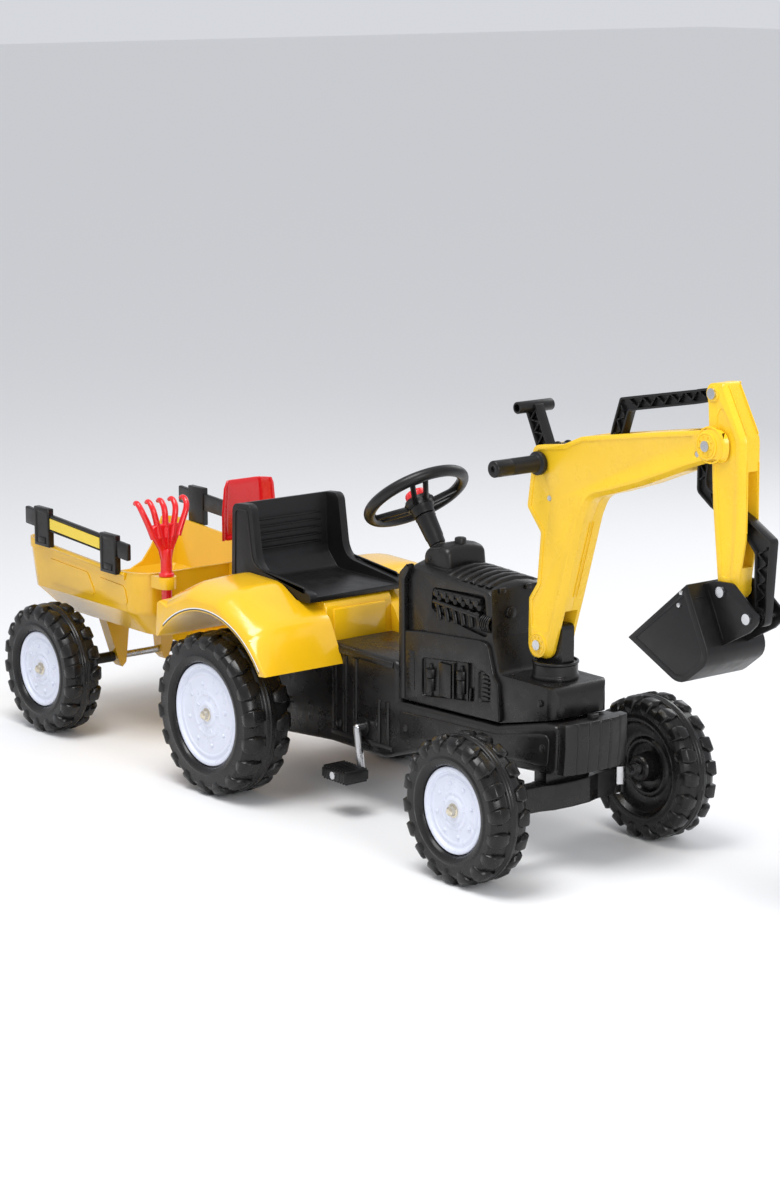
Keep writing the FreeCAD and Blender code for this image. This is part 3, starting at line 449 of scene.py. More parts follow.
def carve(piece, *cutters):
    """Take cutters away from a piece and delete them."""
    for cutter in cutters:
        finish_with(piece, "BOOLEAN", operation="DIFFERENCE", object=cutter, solver="EXACT")
        bpy.data.objects.remove(cutter)


def round_bar(start, end, radius, sides=24, rounding=0.0):
    """A round bar between two points, with softened ends."""
    line = end - start
    piece = begin("cylinder", vertices=sides, radius=radius / 1000, depth=line.length)
    turn = line.to_track_quat("Z", "Y").to_matrix().to_4x4()
    piece.data.transform(Matrix.Translation((start + end) / 2) @ turn)
    if rounding:
        soften(piece, rounding)
    else:
        smooth(piece)
    return piece


def barrel(start, end, radius, sides=24, rounding=0.0):
    """A round bar between two places counted from the front axle."""
    return round_bar(from_axle(*start), from_axle(*end), radius, sides, rounding)


TRAY = [(-700, 110, 12), (-640, 76, 30), (-475, 90, 20), (-340, 90, 20), (-262, 116, 30), (-150, 134, 30),
    (-40, 140, 10), (56, 147, 18), (60, 222, 10), (30, 221), (-75, 196), (-303, 188), (-303, 250, 16),
    (-476, 252, 8), (-478, 212), (-700, 212, 8)]
tray = side_plate("tray", TRAY, (-63, 63))
soften(tray, 7, segments=3)
trim = []
for side in (-1, 1):
    near, far = sorted((side * 61, side * 65.5))
    for x in (-462, -436, -410, -352, -330):
        trim.append(block(x - 5, x + 5, near, far, 112, 236 if x < -400 else 182, 2.0))
    trim.append(block(-474, -316, near, far, 236, 246, 2.0))
    trim.append(block(-470, -318, near, far, 104, 113, 2.0))
    trim.append(side_plate("knee panel", [(-300, 128, 6), (-262, 126, 6), (-180, 146, 8), (-60, 152, 8),
        (40, 158, 10), (44, 206, 10), (20, 204), (-76, 184), (-300, 174, 6)], (near, far)))
    soften(trim[-1], 1.8, segments=3)
    for x, z in ((30, 184), (-286, 150), (-156, 164), (-450, 124)):
        trim.append(barrel((x, side * 60, z), (x, side * 66.4, z), 6.5, rounding=1.2))
        trim.append(barrel((x, side * 66, z), (x, side * 67.2, z), 3.4, rounding=0.6))
assembled("lower_body", [tray] + trim, 34, body_black, "chassis", "black_body", "chassis_shell")

# ------------------------------
# Engine cover: the tall black blow-moulding behind the boom, one piece with the nose box. Its top is
# crowned and ribbed, and its walls carry a pressed mock engine, filters and a ladder strip.
HOOD = [(-300, 190), (-300, 411, 20), (-268, 411), (-160, 405), (-97, 402, 12), (-94, 322, 8), (-77, 271, 12),
    (40, 271, 14), (42, 226), (-75, 199)]


def crowned(name, points, half, drop, above):
    """An X-Z outline pulled across in steps, its top edge falling away towards both sides."""
    levels = [-half, -half * 0.78, -half * 0.45, 0, half * 0.45, half * 0.78, half]
    piece = side_plate(name, points, levels)
    for vertex in piece.data.vertices:
        if vertex.co.z > mm(above):
            vertex.co.z -= mm(drop) * (abs(vertex.co.y) / mm(half)) ** 2
    return piece


def each_side(build):
    """Build a detail on the right, and mirrored on the left."""
    right = build()
    whole = right if isinstance(right, list) else [right]
    return whole + [copied(piece, MIRROR) for piece in whole]


hood = crowned("hood", HOOD, 55, 13, 396)
pockets = each_side(lambda: side_plate("engine pocket",
    [(-236, 342, 8), (-232, 377, 8), (-112, 384, 8), (-104, 320, 8), (-150, 326)], (-70, -48)))
carve(hood, *pockets)
corner = floor_plate("corner cut", [(-330, -80), (60, -80), (60, 80), (-330, 80)], (180, 460))
keep = floor_plate("kept", [(-301, -56, 18), (43, -56, 22), (43, 56, 22), (-301, 56, 18)], (170, 470))
carve(corner, keep)
carve(hood, corner)
soften(hood, 5.5, segments=3, angle=38)


def hood_skirt():
    """Lower half of the wall, standing proud below a sloping shoulder, with two sunk panels."""
    skirt = side_plate("skirt", [(-297, 193, 3), (-297, 300, 6), (-252, 306, 10), (-120, 316, 10),
        (-100, 314, 12), (-86, 270, 16), (-76, 258), (-70, 201, 3)], (-61.5, -50))
    carve(skirt, side_plate("panel", [(-250, 207, 5), (-250, 266, 6), (-128, 279, 6), (-128, 222, 5)],
        (-70, -56.5)), side_plate("slot panel", [(-118, 224, 4), (-118, 272, 6), (-92, 266, 8), (-92, 228, 4)],
        (-70, -57.5)))
    soften(skirt, 2.4, segments=3)
    return skirt


def hood_flange():
    """Thin standing edge down the back of the cover, where the two mould halves meet the dash."""
    flange = side_plate("flange", [(-303, 192), (-304, 388, 14), (-286, 404, 10), (-276, 404, 6),
        (-291, 380, 8), (-290, 196)], (-62.5, -52))
    soften(flange, 1.6)
    return flange


def filter_can(x, low, high):
    """Pressed oil filter: a round can with a ribbed cap and a bracket."""
    return [barrel((x, -57, low), (x, -57, high - 14), 8.0, rounding=1.6),
        barrel((x, -57, high - 13), (x, -57, high), 9.2, sides=14, rounding=1.0),
        barrel((x, -57, high), (x, -57, high + 7), 3.0), barrel((x, -57, low - 7), (x, -57, low), 3.4)]


def side_relief():
    """Filters, service cover, pipes and ladder strip pressed in the lower wall."""
    parts = filter_can(-232, 218, 252) + filter_can(-160, 227, 262)
    parts += [block(-212, -184, -60, -54, 214, 266, 1.4), block(-180, -176, -60.5, -54, 212, 270, 1.0),
        block(-147, -143, -60.5, -54, 216, 276, 1.0), barrel((-226, -58.5, 208), (-140, -58.5, 216), 2.2),
        barrel((-140, -58.5, 216), (-138, -58.5, 240), 2.2)]
    for step in range(6):
        z = 230 + step * 6.6
        parts.append(block(-114 + step * 0.6, -97, -60.5, -55, z, z + 3.2, 0.9))
    for step in range(8):
        z = 216 + step * 7
        parts.append(block(-284, -270, -63.2, -59, z, z + 3.6, 1.0))
    parts.append(block(-287, -267, -62.6, -59, 212, 273, 1.4))
    return parts


def engine_relief():
    """Mock engine: valve gear over a rail, header pipes under it and a finned drum in front."""
    parts = [barrel((-230, -54, 356), (-124, -54, 350), 4.2, rounding=1.0),
        barrel((-228, -52, 371), (-122, -52, 372), 5.2)]
    for index in range(6):
        x = -222 + index * 18.4
        parts.append(barrel((x, -48, 371), (x + 1, -59.5, 369), 5.4, sides=16, rounding=1.2))
        parts.append(barrel((x + 8, -50, 362), (x + 9, -58.5, 364), 4.2, sides=12, rounding=1.0))
        parts.append(barrel((x, -56, 370), (x + 8, -56, 361), 2.6, sides=12))
        parts.append(barrel((x + 2, -54, 352), (x + 9, -56, 330 + index * 0.4), 3.9, sides=16, rounding=1.2))
        parts.append(barrel((x + 2, -57.5, 352), (x + 2, -50, 352), 5.2, sides=12, rounding=1.0))
    for fin in range(5):
        x = -117 + fin * 4.4
        parts.append(barrel((x, -50, 342), (x + 2.4, -50, 342), 13.5, sides=32, rounding=0.8))
    parts.append(barrel((-118, -50, 342), (-97, -50, 342), 10.5, sides=32))
    return parts


details = each_side(hood_skirt) + each_side(hood_flange) + each_side(side_relief) + each_side(engine_relief)
for rib in range(6):
    x = -208 + rib * 17.5
    top_rib = crowned("top rib", [(x, 396), (x + 1.5, 411.5 - rib * 0.8, 3), (x + 9.5, 411.2 - rib * 0.8, 3),
        (x + 12, 396)], 49, 11.5, 400)
    soften(top_rib, 1.6)
    details.append(top_rib)
details.append(barrel((-97, -20, 357), (-91.5, -20, 357), 9.5, rounding=1.6))
details.append(barrel((-92, -20, 357), (-90, -20, 357), 5.5, rounding=1.0))
for y in (-36, 14, 40):
    details.append(block(-97, -92.5, y - 6, y + 6, 388, 396, 1.6))
for y in (-1, 1):
    details.append(barrel((14, y * 54, 246), (14, y * 59, 246), 5.0, rounding=1.4))
    details.append(barrel((-66, y * 40, 270), (-66, y * 40, 273.5), 4.5, rounding=1.0))

# The dash cap is a rounded lid over the back of the cover, with a filler bump and a seam under it.
cap = crowned("dash cap", [(-277, 398), (-276, 431, 14), (-240, 440, 16), (-219, 437, 12), (-215, 398)], 38, 7,
    420)
soften(cap, 7, segments=4, angle=40)
band = floor_plate("cap seam", [(-279, -40, 12), (-213, -40, 12), (-213, 40, 12), (-279, 40, 12)], (396, 404))
soften(band, 2.0)
bump = barrel((-234, 0, 430), (-234, 0, 446), 9.0, rounding=3.0)
hole = barrel((-262, -36, 414), (-262, -39.2, 414), 4.6, rounding=0.8)
assembled("engine_cover", [hood, cap, band, bump, hole] + details, 38, body_black, "chassis", "black_body",
    "hood_cover")

# ------------------------------
# Bumper: a separate bowed black plate on the nose with upright grooves, moulded in one piece and
# held by a clip on top.
def bumper_plan():
    """Half-round notches across a bowed front, as an outline seen from above."""
    points = [(60.4, -61, 3)]
    for step in range(-30, 31):
        y = step * 2.0
        bow = 83.6 - 9.0 * (abs(y) / 61) ** 3
        groove = 1.7 if step % 10 == 0 and abs(step) < 30 else 0.0
        points.append((bow - groove, y))
    points.append((60.4, 61, 3))
    return points


bumper = floor_plate("bumper", bumper_plan(), (150, 156, 190, 220, 226))
for vertex in bumper.data.vertices:
    height = (vertex.co.z - mm(150)) / mm(76)
    vertex.co.x -= mm(5.0) * (1 - height) ** 2 + mm(2.0) * height ** 6
soften(bumper, 1.3, segments=2, angle=38)
clip = block(60, 72, -7, 7, 222, 233, 2.0)
assembled("ribbed_bumper", [bumper, clip], 30, body_black, "chassis", "black_body", "bumper_grille")

# ------------------------------
# Front axle: a black moulded cross beam with a bowed front face and kingpin eyes. The tie rod and
# the axle bushes keep their CAD shapes.
part_black = moulded_plastic("part black", (0.0065, 0.0062, 0.0065), 0.38, grain=0.10, waviness=0.12,
    rubbing=0.10, gloss=0.36)
finish_nodes(part_black, "tie_rod", "axle_bushes")
beam = floor_plate("beam", [(-8, -94), (15, -94, 4), (17, -56, 8), (24, -34, 14), (26, 0), (24, 34, 14),
    (17, 56, 8), (15, 94, 4), (-8, 94)], (84, 124))
soften(beam, 3, segments=3)
beam_parts = [beam, block(-14, 14, -43, 43, 120, 141, 3)]
for side in (-1, 1):
    for low, high in ((84, 96), (124, 136)):
        beam_parts.append(barrel((0, side * 112, low), (0, side * 112, high), 13, sides=32, rounding=1.5))
        near, far = sorted((side * 86, side * 112))
        beam_parts.append(block(-12, 12, near, far, low, high, 1.5))
    near, far = sorted((side * 82, side * 94))
    beam_parts.append(block(-12, 12, near, far, 84, 136, 2))
assembled("axle_beam", beam_parts, 34, body_black, "chassis", "black_body", "front_axle_beam")

# ------------------------------
# Seat body: one glossy yellow moulding under the seat with a mudguard over each rear wheel. Each
# guard rolls over at its outer edge, and a black and white pinstripe follows the wheel arch.
gloss_yellow = moulded_plastic("gloss yellow", (0.83, 0.475, 0.008), 0.20, coat=0.45, cloudiness=0.04,
    grain=0.02, waviness=0.16, rubbing=0.06)
GUARD = [(-734, 236), (-728, 304, 24), (-652, 338, 60), (-560, 336, 60), (-474, 290, 50), (-440, 222),
    (-600, 205)]
ARCH_X, ARCH_Z, ARCH_RADIUS = -598, 125, 171
ARCH = from_axle(ARCH_X, 0, ARCH_Z)


def outward(points):
    """Each rounded corner with the direction that leads out of the outline."""
    corners = rounded(points)
    pairs = []
    for index, corner in enumerate(corners):
        along = corners[(index + 1) % len(corners)] - corners[index - 1]
        pairs.append((corner, Vector((along.y, -along.x)).normalized()))
    turning = sum(a.cross(b) for a, b in zip(corners, corners[1:] + corners[:1]))
    return [(corner, way if turning > 0 else -way) for corner, way in pairs]


def rolled_plate(name, points, levels, shrink, facing):
    """Side plate whose outline draws in by shrink[i] at levels[i], on the edges that face one way."""
    piece = side_plate(name, points, levels)
    pairs = [(from_axle(corner.x, 0, corner.y), way) for corner, way in outward(points)]
    for vertex in piece.data.vertices:
        level = min(range(len(levels)), key=lambda i: abs(vertex.co.y - mm(levels[i])))
        corner, way = min(pairs,
            key=lambda pair: (pair[0].x - vertex.co.x) ** 2 + (pair[0].z - vertex.co.z) ** 2)
        share = max(0.0, min(1.0, (way.dot(facing) - 0.25) * 4))
        vertex.co.x -= mm(shrink[level]) * way.x * share
        vertex.co.z -= mm(shrink[level]) * way.y * share
    return piece


def mudguard():
    """The right guard: the top falls away towards the outside and rolls over into the side face."""
    levels = [-64, -110, -150, -172, -186, -197, -206, -211, -214, -215]
    shrink = [0, 0, 1, 3, 6, 10.5, 16, 20.5, 25, 28]
    guard = rolled_plate("mudguard", GUARD, levels, shrink, Vector((0, 1)))
    arch = round_bar(ARCH + mm(0, -300, 0), ARCH + mm(0, 300, 0), ARCH_RADIUS, sides=128)
    carve(guard, arch, block(-700, -470, -95.5, 95.5, 313, 350, 0))
    soften(guard, 1.6, segments=2, angle=30)
    return guard


def arc_strip(inner, outer, first, last, y_low, y_high):
    """A thin curved strip round the wheel arch, between two angles in degrees."""
    turns = [math.radians(first + (last - first) * step / 40) for step in range(41)]
    points = [(ARCH_X + outer * math.cos(t), ARCH_Z + outer * math.sin(t)) for t in turns]
    points += [(ARCH_X + inner * math.cos(t), ARCH_Z + inner * math.sin(t)) for t in reversed(turns)]
    return side_plate("pinstripe", points, (y_low, y_high))


centre = side_plate("seat box", [(-716, 212.3), (-716, 313, 10), (-482, 313, 14), (-480, 212.3)], (-66, 66))
soften(centre, 3, segments=3)
ledge = block(-484, -478, -52, 52, 236, 300, 3.0)
assembled("seat_body_moulding", [centre, ledge] + each_side(mudguard), 35, gloss_yellow, "chassis",
    "yellow_gloss", "seat_body")

stripe_white = moulded_plastic("stripe white", (0.80, 0.80, 0.78), 0.35, cloudiness=0.02, grain=0.02)
stripe_black = moulded_plastic("stripe black", (0.01, 0.01, 0.01), 0.35, cloudiness=0.02, grain=0.02)
white_line = joined("white_pinstripe", each_side(lambda: arc_strip(174.6, 176.4, 36, 131, -215.35, -214.6)))
dress(white_line, stripe_white, "chassis", "yellow_gloss")
black_line = joined("black_pinstripe", each_side(lambda: arc_strip(172.8, 174.5, 35, 132, -215.35, -214.6)))
dress(black_line, stripe_black, "chassis", "yellow_gloss")

# ------------------------------
# Seat: a black moulded bucket with side wings and a raised bead along their edge. Five low ribs
# cross its back.
seat = side_plate("seat", [(-694, 313.3), (-690, 443, 14), (-640, 447, 14), (-624, 345, 34), (-500, 330, 12),
    (-482, 326, 8), (-486, 313.3)], (-94, 94))
hollow = side_plate("hollow", [(-628, 470), (-672, 470), (-668, 352, 22), (-640, 324, 20), (-470, 322),
    (-470, 470)], (-80, 80))
carve(seat, hollow)
soften(seat, 4.5, segments=3, angle=40)


def wing_bead():
    """Thin bead set in from the edge of a wing."""
    bead = side_plate("bead", [(-686, 318), (-683, 436, 9), (-649, 439, 9), (-634, 350, 26), (-500, 336, 8),
        (-500, 334), (-636, 347, 28), (-652, 436, 7), (-680, 433, 7), (-683, 318)], (-95.2, -92))
    soften(bead, 0.6)
    return bead


seat_parts = [seat] + each_side(wing_bead)
for step in range(5):
    seat_parts.append(block(-665 + step * 0.4, -660, -62, 62, 366 + step * 12, 369 + step * 12, 1.2))
assembled("moulded_seat", seat_parts, 38, part_black, "chassis", "black_part", "seat")

# ------------------------------
# Steering: a black wheel with three double spokes on a cone hub, over a tapered dash sleeve, and a
# red push button with a ribbed edge in the middle.
COLUMN_TOP = from_axle(-331, 0, 482)
LEAN, RISE = 0.6132, 0.7899  # the column's slope: its lean backwards and its rise, for a length of one
column = Matrix(((RISE, 0, -LEAN, COLUMN_TOP.x), (0, 1, 0, COLUMN_TOP.y), (LEAN, 0, RISE, COLUMN_TOP.z),
    (0, 0, 0, 1)))
upright = Matrix.Rotation(math.pi / 2, 4, "X")


def bar(start, end, width, depth, across, rounding=1.0):
    """A straight bar of oblong section between two points; its width lies along across."""
    piece = begin("cube", size=1)
    way = (end - start).normalized()
    side = (across - across.dot(way) * way).normalized()
    other = way.cross(side)
    turn = Matrix((side, other, way)).transposed().to_4x4()
    size = Matrix.Diagonal((width / 1000, depth / 1000, (end - start).length, 1))
    piece.data.transform(Matrix.Translation((start + end) / 2) @ turn @ size)
    if rounding:
        soften(piece, rounding)
    return piece


def strip(start, end, width, depth, rounding):
    """A bar between two places counted from the front axle, its width across the machine."""
    return bar(from_axle(*start), from_axle(*end), width, depth, Vector((0, 1, 0)), rounding)


rim = begin("torus", major_radius=0.077, minor_radius=0.009, major_segments=96, minor_segments=20)
rim.data.transform(Matrix.Translation(mm(0, 0, 14)))
smooth(rim, 80)
hub = spun("hub", [(5.6, -20), (17, -20), (17.6, -12), (19.5, -4), (24, 3), (23, 5), (17.9, 5), (17.8, -5),
    (5.6, -5)], 64)
soften(hub, 0.9, angle=25)
hub.data.transform(upright)
cup = spun("cup", [(18.3, -6), (21.5, -6), (20.5, 8.6), (19.4, 9.2), (18.3, 8.6)], 64)
cup.data.transform(upright)
wheel_parts = [rim, hub, cup]
for angle in (90, 210, 330):
    turn = Matrix.Rotation(math.radians(angle), 4, "Z")
    for offset in (-9, 9):
        inner = turn @ mm(17, offset, -1)
        outer = turn @ mm(71, offset * 1.2, 12.5)
        spoke = bar(inner, outer, 7.6, 8.5, turn @ Vector((0, 1, 0)), 2.2)
        wheel_parts.append(spoke)
    web = bar(turn @ mm(60, 0, 10.5), turn @ mm(70, 0, 12.5), 18, 3.5, turn @ Vector((0, 1, 0)), 1.2)
    wheel_parts.append(web)
wheel = joined("steering_wheel_moulding", wheel_parts)
wheel.data.transform(column)
smooth(wheel, 40)
dress(wheel, part_black, "steering", "black_part", "steering_wheel")

sleeve = spun("sleeve", [(5.3, -72), (11.5, -72), (12.8, -70), (13.4, -60), (14.2, -58), (15.6, -26),
    (16.4, -24), (16.4, -22.4), (5.3, -22.4)], 64)
soften(sleeve, 0.9, angle=25)
sleeve.data.transform(column @ upright)
sleeve.name = "dash_sleeve"
dress(sleeve, part_black, "steering", "black_part", "column_sleeve")

horn_red = moulded_plastic("tool red", (0.72, 0.008, 0.012), 0.24, coat=0.35, cloudiness=0.04, grain=0.02,
    waviness=0.15)
horn = spun("horn", [(0.3, 1), (16.2, 1), (16.6, 2), (16.4, 17.5), (15.4, 20.5), (12, 22.2), (6, 22.9),
    (0.3, 23)], 64)
soften(horn, 0.7, angle=25)
horn_parts = [horn]
for index in range(20):
    turn = Matrix.Rotation(math.tau * index / 20, 4, "Y")
    horn_parts.append(round_bar(turn @ mm(16.2, 9.5, 0), turn @ mm(15.6, 18.5, 0), 1.1, sides=10, rounding=0.3))
horn = joined("horn_push", horn_parts)
horn.data.transform(column @ upright)
smooth(horn, 40)
dress(horn, horn_red, "horn", "red_plastic", "horn_button")

# ------------------------------
# Pedals: ribbed black blocks turning on the ends of the bent steel crank, each moulded in one
# piece round its spindle hole.
def pedal(node, body):
    """Pedal block with end caps and cross ribs, built inside the box of its CAD node."""
    low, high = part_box(node)
    middle = (low + high) / 2
    size = (high - low) * 1000
    cx, cz = (middle.x - FRONT_AXLE_X) * 1000, middle.z * 1000
    y_low, y_high = low.y * 1000, high.y * 1000
    tread = block(cx - size.x / 2 + 1.2, cx + size.x / 2 - 1.2, y_low + 0.6, y_high - 0.6, cz - 8.2, cz + 8.2,
        3)
    parts = [tread]
    for step in range(9):
        x = cx - size.x / 2 + 5 + step * (size.x - 10) / 8
        for z_low, z_high in ((cz - size.z / 2, cz - 7.4), (cz + 7.4, cz + size.z / 2)):
            parts.append(block(x - 1.6, x + 1.6, y_low + 3, y_high - 3, z_low, z_high, 0.9))
        for y in (y_low, y_high - 1.6):
            if abs(x - cx) > 8:
                parts.append(block(x - 1.6, x + 1.6, y, y + 1.6, cz - 6.5, cz + 6.5, 0.6))
    carve(tread, round_bar(Vector((middle.x, low.y - 0.01, middle.z)),
        Vector((middle.x, high.y + 0.01, middle.z)), 5.4))
    whole = joined("ribbed_" + node, parts)
    smooth(whole)
    dress(whole, part_black, body, "black_part", node)


for side in ("right", "left"):
    pedal("pedal_" + side, "pedal_" + side)

# ------------------------------
# Slewing post: a black ring cup screwed to the nose box, and the square post that turns in it. The
# post keeps its CAD shape.
cup_place = Matrix.Translation(from_axle(-17, 0, 0)) @ upright
ring = spun("slewing cup", [(15.4, 270.3), (34.9, 270.3), (34.9, 276), (33.2, 278.5), (33.2, 293),
    (34.6, 294.5), (34.6, 297.2), (33.6, 298), (31.2, 298), (31, 290.1), (15.4, 290.1)], 96)
soften(ring, 0.8, angle=25)
ring.data.transform(cup_place)
ring.name = "slewing_cup"
dress(ring, body_black, "chassis", "black_body", "slew_ring")
finish_nodes(body_black, "turret_post")

# ------------------------------
# Boom: two deep yellow mouldings bolted face to face. A raised border follows the outline, the front
# corners are cut back, and round bolt plates with eight notches close the base and the elbow.
arm_yellow = moulded_plastic("arm yellow", (0.85, 0.53, 0.018), 0.30, coat=0.12, cloudiness=0.03, grain=0.04,
    waviness=0.05, rubbing=0.06)
BOLT_HOLE = 4.3
BOOM = [(-49, 300.6, 20), (-7, 300.6, 20), (5, 340), (24, 400), (60, 520), (76, 552, 34), (120, 564, 80),
    (181, 584), (279, 622), (318, 635, 20), (346, 634, 18), (352, 686, 22), (305, 678), (180, 658),
    (60, 638, 30), (22, 622, 30), (-42, 613, 14), (-47, 568), (-54, 522, 8), (-24, 488, 8), (-31, 412, 10),
    (-48, 388, 8)]
BOOM_PANEL = [(-41, 345, 4), (-6, 345, 4), (12.5, 403), (48.5, 523), (68, 562, 34), (117, 576, 80), (177, 595),
    (281, 635, 4), (286, 668, 4), (181, 651.5), (61, 631.5, 30), (24, 615.5, 25), (-35.5, 607, 10),
    (-40.5, 567), (-47, 524, 6), (-17.2, 490, 8), (-24.4, 410, 10), (-41.6, 386, 6)]


def drill(x, z, radius=BOLT_HOLE, low=-40, high=40, sides=24):
    """Cutter for a hole along Y."""
    return barrel((x, low, z), (x, high, z), radius, sides)


def sink(piece, chosen, steps):
    """Draw in a border on the chosen faces, once for each (width, depth) in millimetres."""
    edit(piece)
    bpy.ops.mesh.select_mode(type="FACE")
    bpy.ops.mesh.select_all(action="DESELECT")
    bpy.ops.object.mode_set(mode="OBJECT")
    for face in piece.data.polygons:
        face.select = chosen(face)
    bpy.ops.object.mode_set(mode="EDIT")
    for width, depth in steps:
        bpy.ops.mesh.inset(thickness=width / 1000, depth=depth / 1000, use_even_offset=True)
    bpy.ops.mesh.select_mode(type="VERT")
    bpy.ops.object.mode_set(mode="OBJECT")


def notched_plate(x, z, radius, face):
    """Round bolt plate on the -Y side, with a groove near its rim and eight notches round the bolt."""
    disc = spun("bolt plate", [(BOLT_HOLE, 0.6), (radius, 0.6), (radius, -1.2), (radius * 0.90, -1.9),
        (radius * 0.86, -1.9), (radius * 0.84, -1.1), (radius * 0.80, -1.1), (radius * 0.78, -1.7),
        (radius * 0.40, -1.7), (radius * 0.38, -2.3), (BOLT_HOLE, -2.3)], 64)
    slots = []
    for index in range(8):
        turn = Matrix.Rotation(math.tau * (index + 0.5) / 8, 4, "Y")
        slots.append(bar(turn @ mm(radius * 0.50, -1.9, 0), turn @ mm(radius * 0.70, -1.9, 0), 3.4, 1.8,
            turn @ Vector((0, 0, 1)), 0))
    carve(disc, joined("slots", slots))
    smooth(disc, 30)
    disc.data.transform(Matrix.Translation(from_axle(x, face, z)))
    return disc


def boom_half():
    """Right half of the boom, from the joint face to the outer face."""
    half = rolled_plate("boom half", BOOM, (-0.2, -17.5, -25), (0, 0, 6.5), Vector((0.85, -0.53)))
    cuts = [side_plate("panel", BOOM_PANEL, (-30, -23.6)), block(-80, 40, -12.2, 12.2, 290, 376, 0),
        block(260, 360, -19, 19, 600, 690, 0), block(-80, 36, -13.5, 13.5, 530, 660, 0),
        block(62, 168, -9, 9, 610, 670, 0)]
    for x, z in ((-28, 321), (310, 657), (-8, 540), (291, 643), (-27.5, 589)):
        cuts.append(drill(x, z, high=10))
    carve(half, *cuts)
    soften(half, 0.9, angle=34)
    groove = strip((24, -3.2, 398), (58, -3.2, 512), 1.6, 2.2, 0.5)
    plates = [notched_plate(-28, 321, 18.5, -25), notched_plate(310, 657, 19.5, -25)]
    rim_ring = spun("elbow ring", [(23.2, 0.4), (25.6, 0.4), (25.2, -0.9), (23.6, -0.9)], 72)
    rim_ring.data.transform(Matrix.Translation(from_axle(316, -24.6, 659)))
    carve(rim_ring, block(341, 380, -40, 0, 600, 700, 0))
    whole = joined("boom half", [half, groove, *plates, rim_ring])
    smooth(whole, 32)
    return whole


boom_right = boom_half()
boom_right.name = "boom_right_half"
boom_left = copied(boom_right, MIRROR)
boom_left.name = "boom_left_half"
dress(boom_right, arm_yellow, "boom", "yellow_arm", "boom_right")
dress(boom_left, arm_yellow, "boom", "yellow_arm", "boom_left")

# ------------------------------
# Hand grip and lever: a black tube with a flange on the right of the boom, and the ribbed T lever
# that works the stick through the upper link.
grip = spun("grip", [(4.5, -113.6), (8.5, -114), (11.6, -113.4), (12.3, -112), (12.3, -84), (12.0, -83),
    (12.0, -82), (12.3, -81), (12.3, -34.5), (14.5, -33.4), (17.3, -32.4), (17.3, -26.2), (16.6, -25.3),
    (4.5, -25.3)], 64)
soften(grip, 0.5, angle=25)
grip.data.transform(Matrix.Translation(from_axle(-27.5, 0, 589)))
grip.name = "side_grip"
dress(grip, part_black, "boom", "black_part", "grip_tube")


def truss_ribs(runs, half):
    """Zigzag ribs between two edges: each run is (start, end, width, number of ribs)."""
    ribs = []
    for start, end, width, count in runs:
        line = Vector(end) - Vector(start)
        square = Vector((-line.y, line.x)).normalized() * width / 2
        for index in range(count):
            side = 1 if index % 2 == 0 else -1
            first = Vector(start) + line * index / count + square * side
            last = Vector(start) + line * (index + 1) / count - square * side
            ribs.append(strip((first.x, 0, first.y), (last.x, 0, last.y), half * 2, 2.0, 0))
            middle = (first + last) / 2
            ribs.append(barrel((middle.x, -half, middle.y), (middle.x, half, middle.y), 1.6, sides=10))
    return ribs


def truss(name, points, half, border, runs, eyes):
    """Open-sided bar: a plate sunk on both faces, with zigzag ribs and round eyes (x, z, radius, hole)."""
    piece = side_plate(name, points, (-half, half))
    sink(piece, lambda face: abs(face.normal.y) > 0.99, ((border, 0.0), (0.4, -(half - 1.8))))
    parts = [piece]
    for x, z, radius, hole in eyes:
        carve(piece, drill(x, z, hole, -20, 20, 32))
        eye = barrel((x, -half, z), (x, half, z), radius, sides=40, rounding=0.5)
        carve(eye, drill(x, z, hole, -20, 20, 32))
        parts.append(eye)
    soften(piece, 0.6, angle=40)
    return joined(name, parts + truss_ribs(runs, half - 0.6))


def tilted(start, end, width, rounding=6):
    """Outline of an oblong that runs between two points of the X-Z plane."""
    way = (Vector(end) - Vector(start)).normalized()
    side = Vector((-way.y, way.x)) * width / 2
    corners = (Vector(start) - side, Vector(end) - side, Vector(end) + side, Vector(start) + side)
    return [(corner.x, corner.y, rounding) for corner in corners]


lever_foot, lever_head = Vector((-8, 540)), Vector((-70, 664))
lever_way = (lever_head - lever_foot).normalized()
foot_end = lever_foot - lever_way * 11
stem = truss("lever stem", tilted(foot_end, lever_head, 24, 3), 8, 3.4,
    [(lever_foot + lever_way * 14, lever_foot + lever_way * 64, 17, 4),
    (lever_foot + lever_way * 84, lever_head - lever_way * 8, 17, 5)], [(-8, 540, 10.5, BOLT_HOLE)])
lever_parts = [stem]
for side in (-1, 1):
    near, far = sorted((side * 7.6, side * 12.4))
    cheek = side_plate("cheek", [(-20, 534, 10), (6, 534, 10), (10, 612, 9), (-6, 624, 9), (-24, 610, 9)],
        (near, far))
    carve(cheek, drill(-8, 540), drill(-5, 611, 3.2))
    soften(cheek, 1.0)
    lever_parts.append(cheek)
cross = barrel((-70, -33, 664), (-70, 33, 664), 8.8, sides=40, rounding=1.2)
carve(cross, barrel((-70, -40, 664), (-70, -26, 664), 5.8, sides=32),
    barrel((-70, 26, 664), (-70, 40, 664), 5.8, sides=32))
lever_parts.append(cross)
assembled("t_lever_moulding", lever_parts, 34, part_black, "t_lever", "black_part", "t_lever")

